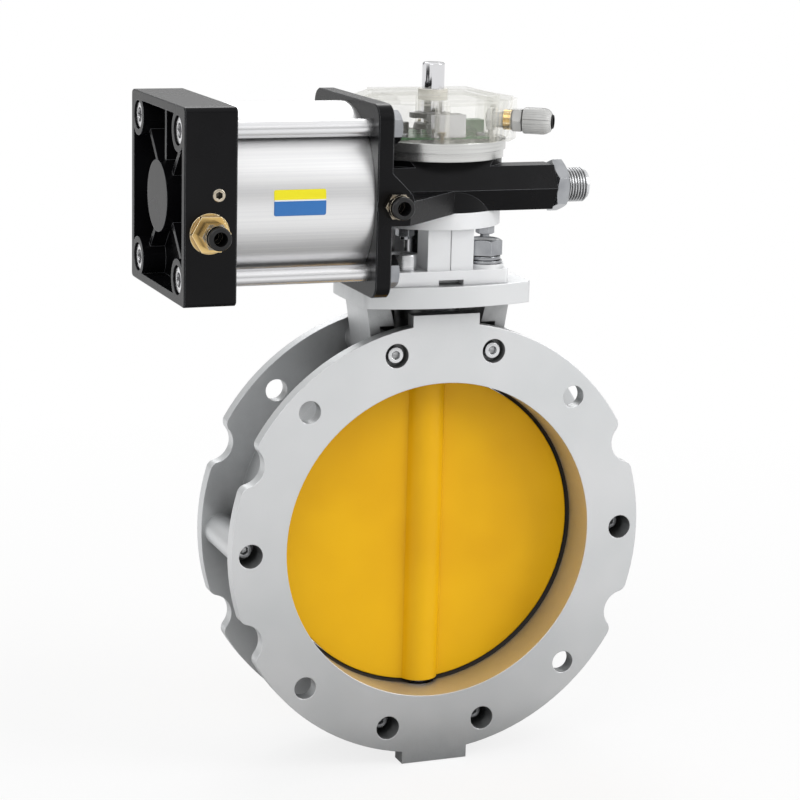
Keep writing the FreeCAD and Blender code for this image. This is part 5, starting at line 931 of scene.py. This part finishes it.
# %% Cut the plate out of a cylinder
FILM_FOOT, FILM_TOP = 212.4, 228.1
FILM_MIDDLE, FILM_WIDTH, FILM_RADIUS = -111.3, 31, 53.04
bare()
bpy.ops.mesh.primitive_cylinder_add(vertices=224, radius=FILM_RADIUS * MM, depth=FILM_WIDTH * MM,
                                    location=(FILM_MIDDLE * MM, AXIS_DEPTH * MM, AXIS_HEIGHT * MM),
                                    rotation=(0, radians(90), 0))
bpy.ops.object.transform_apply()
label = bpy.context.object
pick(label, "faces", lambda face: abs(face.normal.x) > 0.5 or face.normal.y > 0
     or not FILM_FOOT * MM < face.calc_center_median().z < FILM_TOP * MM)
bpy.ops.mesh.delete(type="FACE")
corners = [vert.co.copy() for vert in bmesh.from_edit_mesh(label.data).verts
           if len(vert.link_faces) == 1]
pick(label, "verts", lambda vert: any((vert.co - spot).length < 1e-7 for spot in corners))
bpy.ops.mesh.bevel(offset=1.2 * MM, segments=5, affect="VERTICES")
shape_with(label, "SOLIDIFY", thickness=0.15 * MM, offset=1)
settle(label, "label_plate", label_film, "white_guide_plastic")

# %% [markdown]
# ## Parts on the circuit board
# Through the clear cover some parts show on the board: resistors with their
# wires, a small can capacitor and a black chip. The resistor's body swells at
# both ends, which is what tells it from a plain bead. The last two steps at
# each end are its wire.

# %% Resistors
resistor = round_bar(1.0, -1.6, 1.6, 24)
for way in (1, -1):
    grow(resistor, way, (0.5, 1.25), (1.0, 1.0), (0.4, 0.6), (0.01, 0.45), (1.6, 1.0))
RESISTORS = ((-22, 45, 90), (-17.5, 45, 90), (12, 48.5, 0))
for k, (x, y, turn) in enumerate(RESISTORS, 1):
    settle(another(resistor), f"resistor_{k}", guide_plastic, "white_guide_plastic",
           (x, y, 249.95), (0, 90, turn), smooth=50)
bpy.data.objects.remove(resistor)

# %% [markdown]
# A can capacitor has a groove near its foot, where the can is rolled over its
# rubber plug, and a sunken top. The chip is a block with slightly broken edges.

# %% Capacitor and chip
can = round_bar(3.2, 0.4, 1.6, 40)
grow(can, -1, (0.4, 0.92))
grow(can, 1, (0.4, 0.92), (0.5, 1.0), (0.4, 1.087), (4.6, 1.0), (0.4, 0.93))
pick(can, "faces", end_face(1))
bpy.ops.mesh.inset(thickness=0.5 * MM)
stretch(-0.2)
settle(can, "can_capacitor", black_plastic, "black_plastic", (-22, 24, 248.6))

bare()
bpy.ops.mesh.primitive_cube_add(size=1, location=(0, 0, 2.0 * MM))
chip = bpy.context.object
chip.scale = (9.5 * MM, 6.4 * MM, 3.0 * MM)
bpy.ops.object.transform_apply()
pick(chip, "edges", lambda edge: True)
bpy.ops.mesh.bevel(offset=0.3 * MM, segments=2, affect="EDGES")
settle(chip, "board_chip", black_plastic, "black_plastic", (0, 49, 248.4))

# %% [markdown]
# ## Camera
# The camera stands where the photo was taken from: left of the valve, a little
# above its bore, with a long lens. It is tipped by one and a half degrees.

# %% Camera
DOWN, ACROSS, TIPPED = 12.61, -21.39, 1.47
bpy.ops.object.select_all(action="DESELECT")
bpy.ops.object.camera_add(location=(-0.5546, -1.3415, 0.4134))
camera = bpy.context.object
camera.data.lens = 109.8
looking = Euler((radians(90 - DOWN), 0, radians(ACROSS))).to_matrix()
camera.rotation_euler = (looking @ Matrix.Rotation(radians(TIPPED), 3, "Z")).to_euler()
bpy.context.scene.camera = camera
print("camera", round(camera.location.length, 3), "m from the bore, lens",
      round(camera.data.lens, 1), "mm")

# %% [markdown]
# ## Floor, light and background
# The valve stands on a white sweep in the photo. The floor is pale and keeps
# the shadow, and a camera ray sees it nearly white. In the shine of the metal
# it is white far out and darker near the valve, where a real floor would lie
# in the valve's own shade. That gives the round tube its dark lower side.

# %% Floor
MIRRORED_GLOW = 0.85
bpy.ops.object.select_all(action="DESELECT")
bpy.ops.mesh.primitive_plane_add(size=60.0, location=(0, 0, cad_box[0][2] - 0.0005))
floor = bpy.context.object
floor.name = "floor"
pale_floor, tree, shader = new_material("pale floor")
shader.inputs["Base Color"].default_value = (0.9, 0.9, 0.9, 1)
shader.inputs["Roughness"].default_value = 0.8
glow = tree.nodes.new("ShaderNodeEmission")
rays = tree.nodes.new("ShaderNodeLightPath")
away = tree.nodes.new("ShaderNodeVectorMath")
away.operation = "LENGTH"
tree.links.new(object_place(tree), away.inputs[0])
distance = away.outputs["Value"]
direct = maths(tree, "MAXIMUM", rays.outputs["Is Camera Ray"], rays.outputs["Is Transmission Ray"])
shown = maths(tree, "MULTIPLY", direct, ranged(tree, distance, 0.3, 1.1, 0.8, 1.03))
dimmer = maths(tree, "MULTIPLY", rays.outputs["Is Glossy Ray"],
               ranged(tree, distance, 0.08, 0.55, 0.85, 0.0))
tree.links.new(maths(tree, "SUBTRACT", 1.0, dimmer), glow.inputs["Strength"])
mirrored = maths(tree, "MULTIPLY", rays.outputs["Is Glossy Ray"], MIRRORED_GLOW)
mix = tree.nodes.new("ShaderNodeMixShader")
tree.links.new(maths(tree, "MAXIMUM", shown, mirrored), mix.inputs["Fac"])
tree.links.new(shader.outputs["BSDF"], mix.inputs[1])
tree.links.new(glow.outputs["Emission"], mix.inputs[2])
tree.links.new(mix.outputs["Shader"], tree.nodes["Material Output"].inputs["Surface"])
floor.data.materials.append(pale_floor)
print("floor at", round(floor.location.z, 4))

# %% [markdown]
# The world has to be white behind the valve, soft light on it, and a gentle
# sweep from grey near the floor to white overhead in the shine of the metal.
# Light Path tells these rays apart.

# %% World
AMBIENT = 0.5
world = bpy.data.worlds.new("studio")
bpy.context.scene.world = world
world.use_nodes = True
tree = world.node_tree
back = tree.nodes["Background"]
back.inputs["Color"].default_value = (1, 1, 1, 1)
rays = tree.nodes.new("ShaderNodeLightPath")
split = tree.nodes.new("ShaderNodeSeparateXYZ")
tree.links.new(tree.nodes.new("ShaderNodeTexCoord").outputs["Generated"], split.inputs["Vector"])
sweep = ranged(tree, split.outputs["Z"], 0.0, 0.7, 0.45, 1.0)
direct = maths(tree, "MAXIMUM", rays.outputs["Is Camera Ray"], rays.outputs["Is Transmission Ray"])
shine = maths(tree, "MULTIPLY", rays.outputs["Is Glossy Ray"],
              maths(tree, "SUBTRACT", sweep, AMBIENT))
level = maths(tree, "ADD", maths(tree, "MULTIPLY", direct, 1 - AMBIENT), shine)
tree.links.new(maths(tree, "ADD", level, AMBIENT), back.inputs["Strength"])
print("world", world.name, "with ambient light", AMBIENT)

# %% [markdown]
# Large lamps make soft light with soft edges. The key lamp stands at the upper
# right, the fill lamp at the upper left, and a third behind the valve draws a
# thin bright rim on its top edges.

# %% Soft lamps
def soft_lamp(name, place, aim, size, power):
    """A square area lamp that looks at a point."""
    bpy.ops.object.light_add(type="AREA", location=place)
    lamp = bpy.context.object
    lamp.name = name
    lamp.data.size, lamp.data.energy = size, power
    lamp.rotation_euler = (Vector(aim) - Vector(place)).to_track_quat("-Z", "Y").to_euler()
    print(name, "at", place, "with", power, "W")


soft_lamp("key lamp", (1.7, -1.3, 1.2), (0, 0, 0.05), 1.2, 24)
soft_lamp("fill lamp", (-1.2, -1.4, 1.6), (0, 0, 0.05), 1.4, 13)
soft_lamp("rim lamp", (0.4, 1.6, 1.5), (0, 0, 0.1), 1.2, 14)
bpy.context.scene.view_settings.view_transform = "Standard"
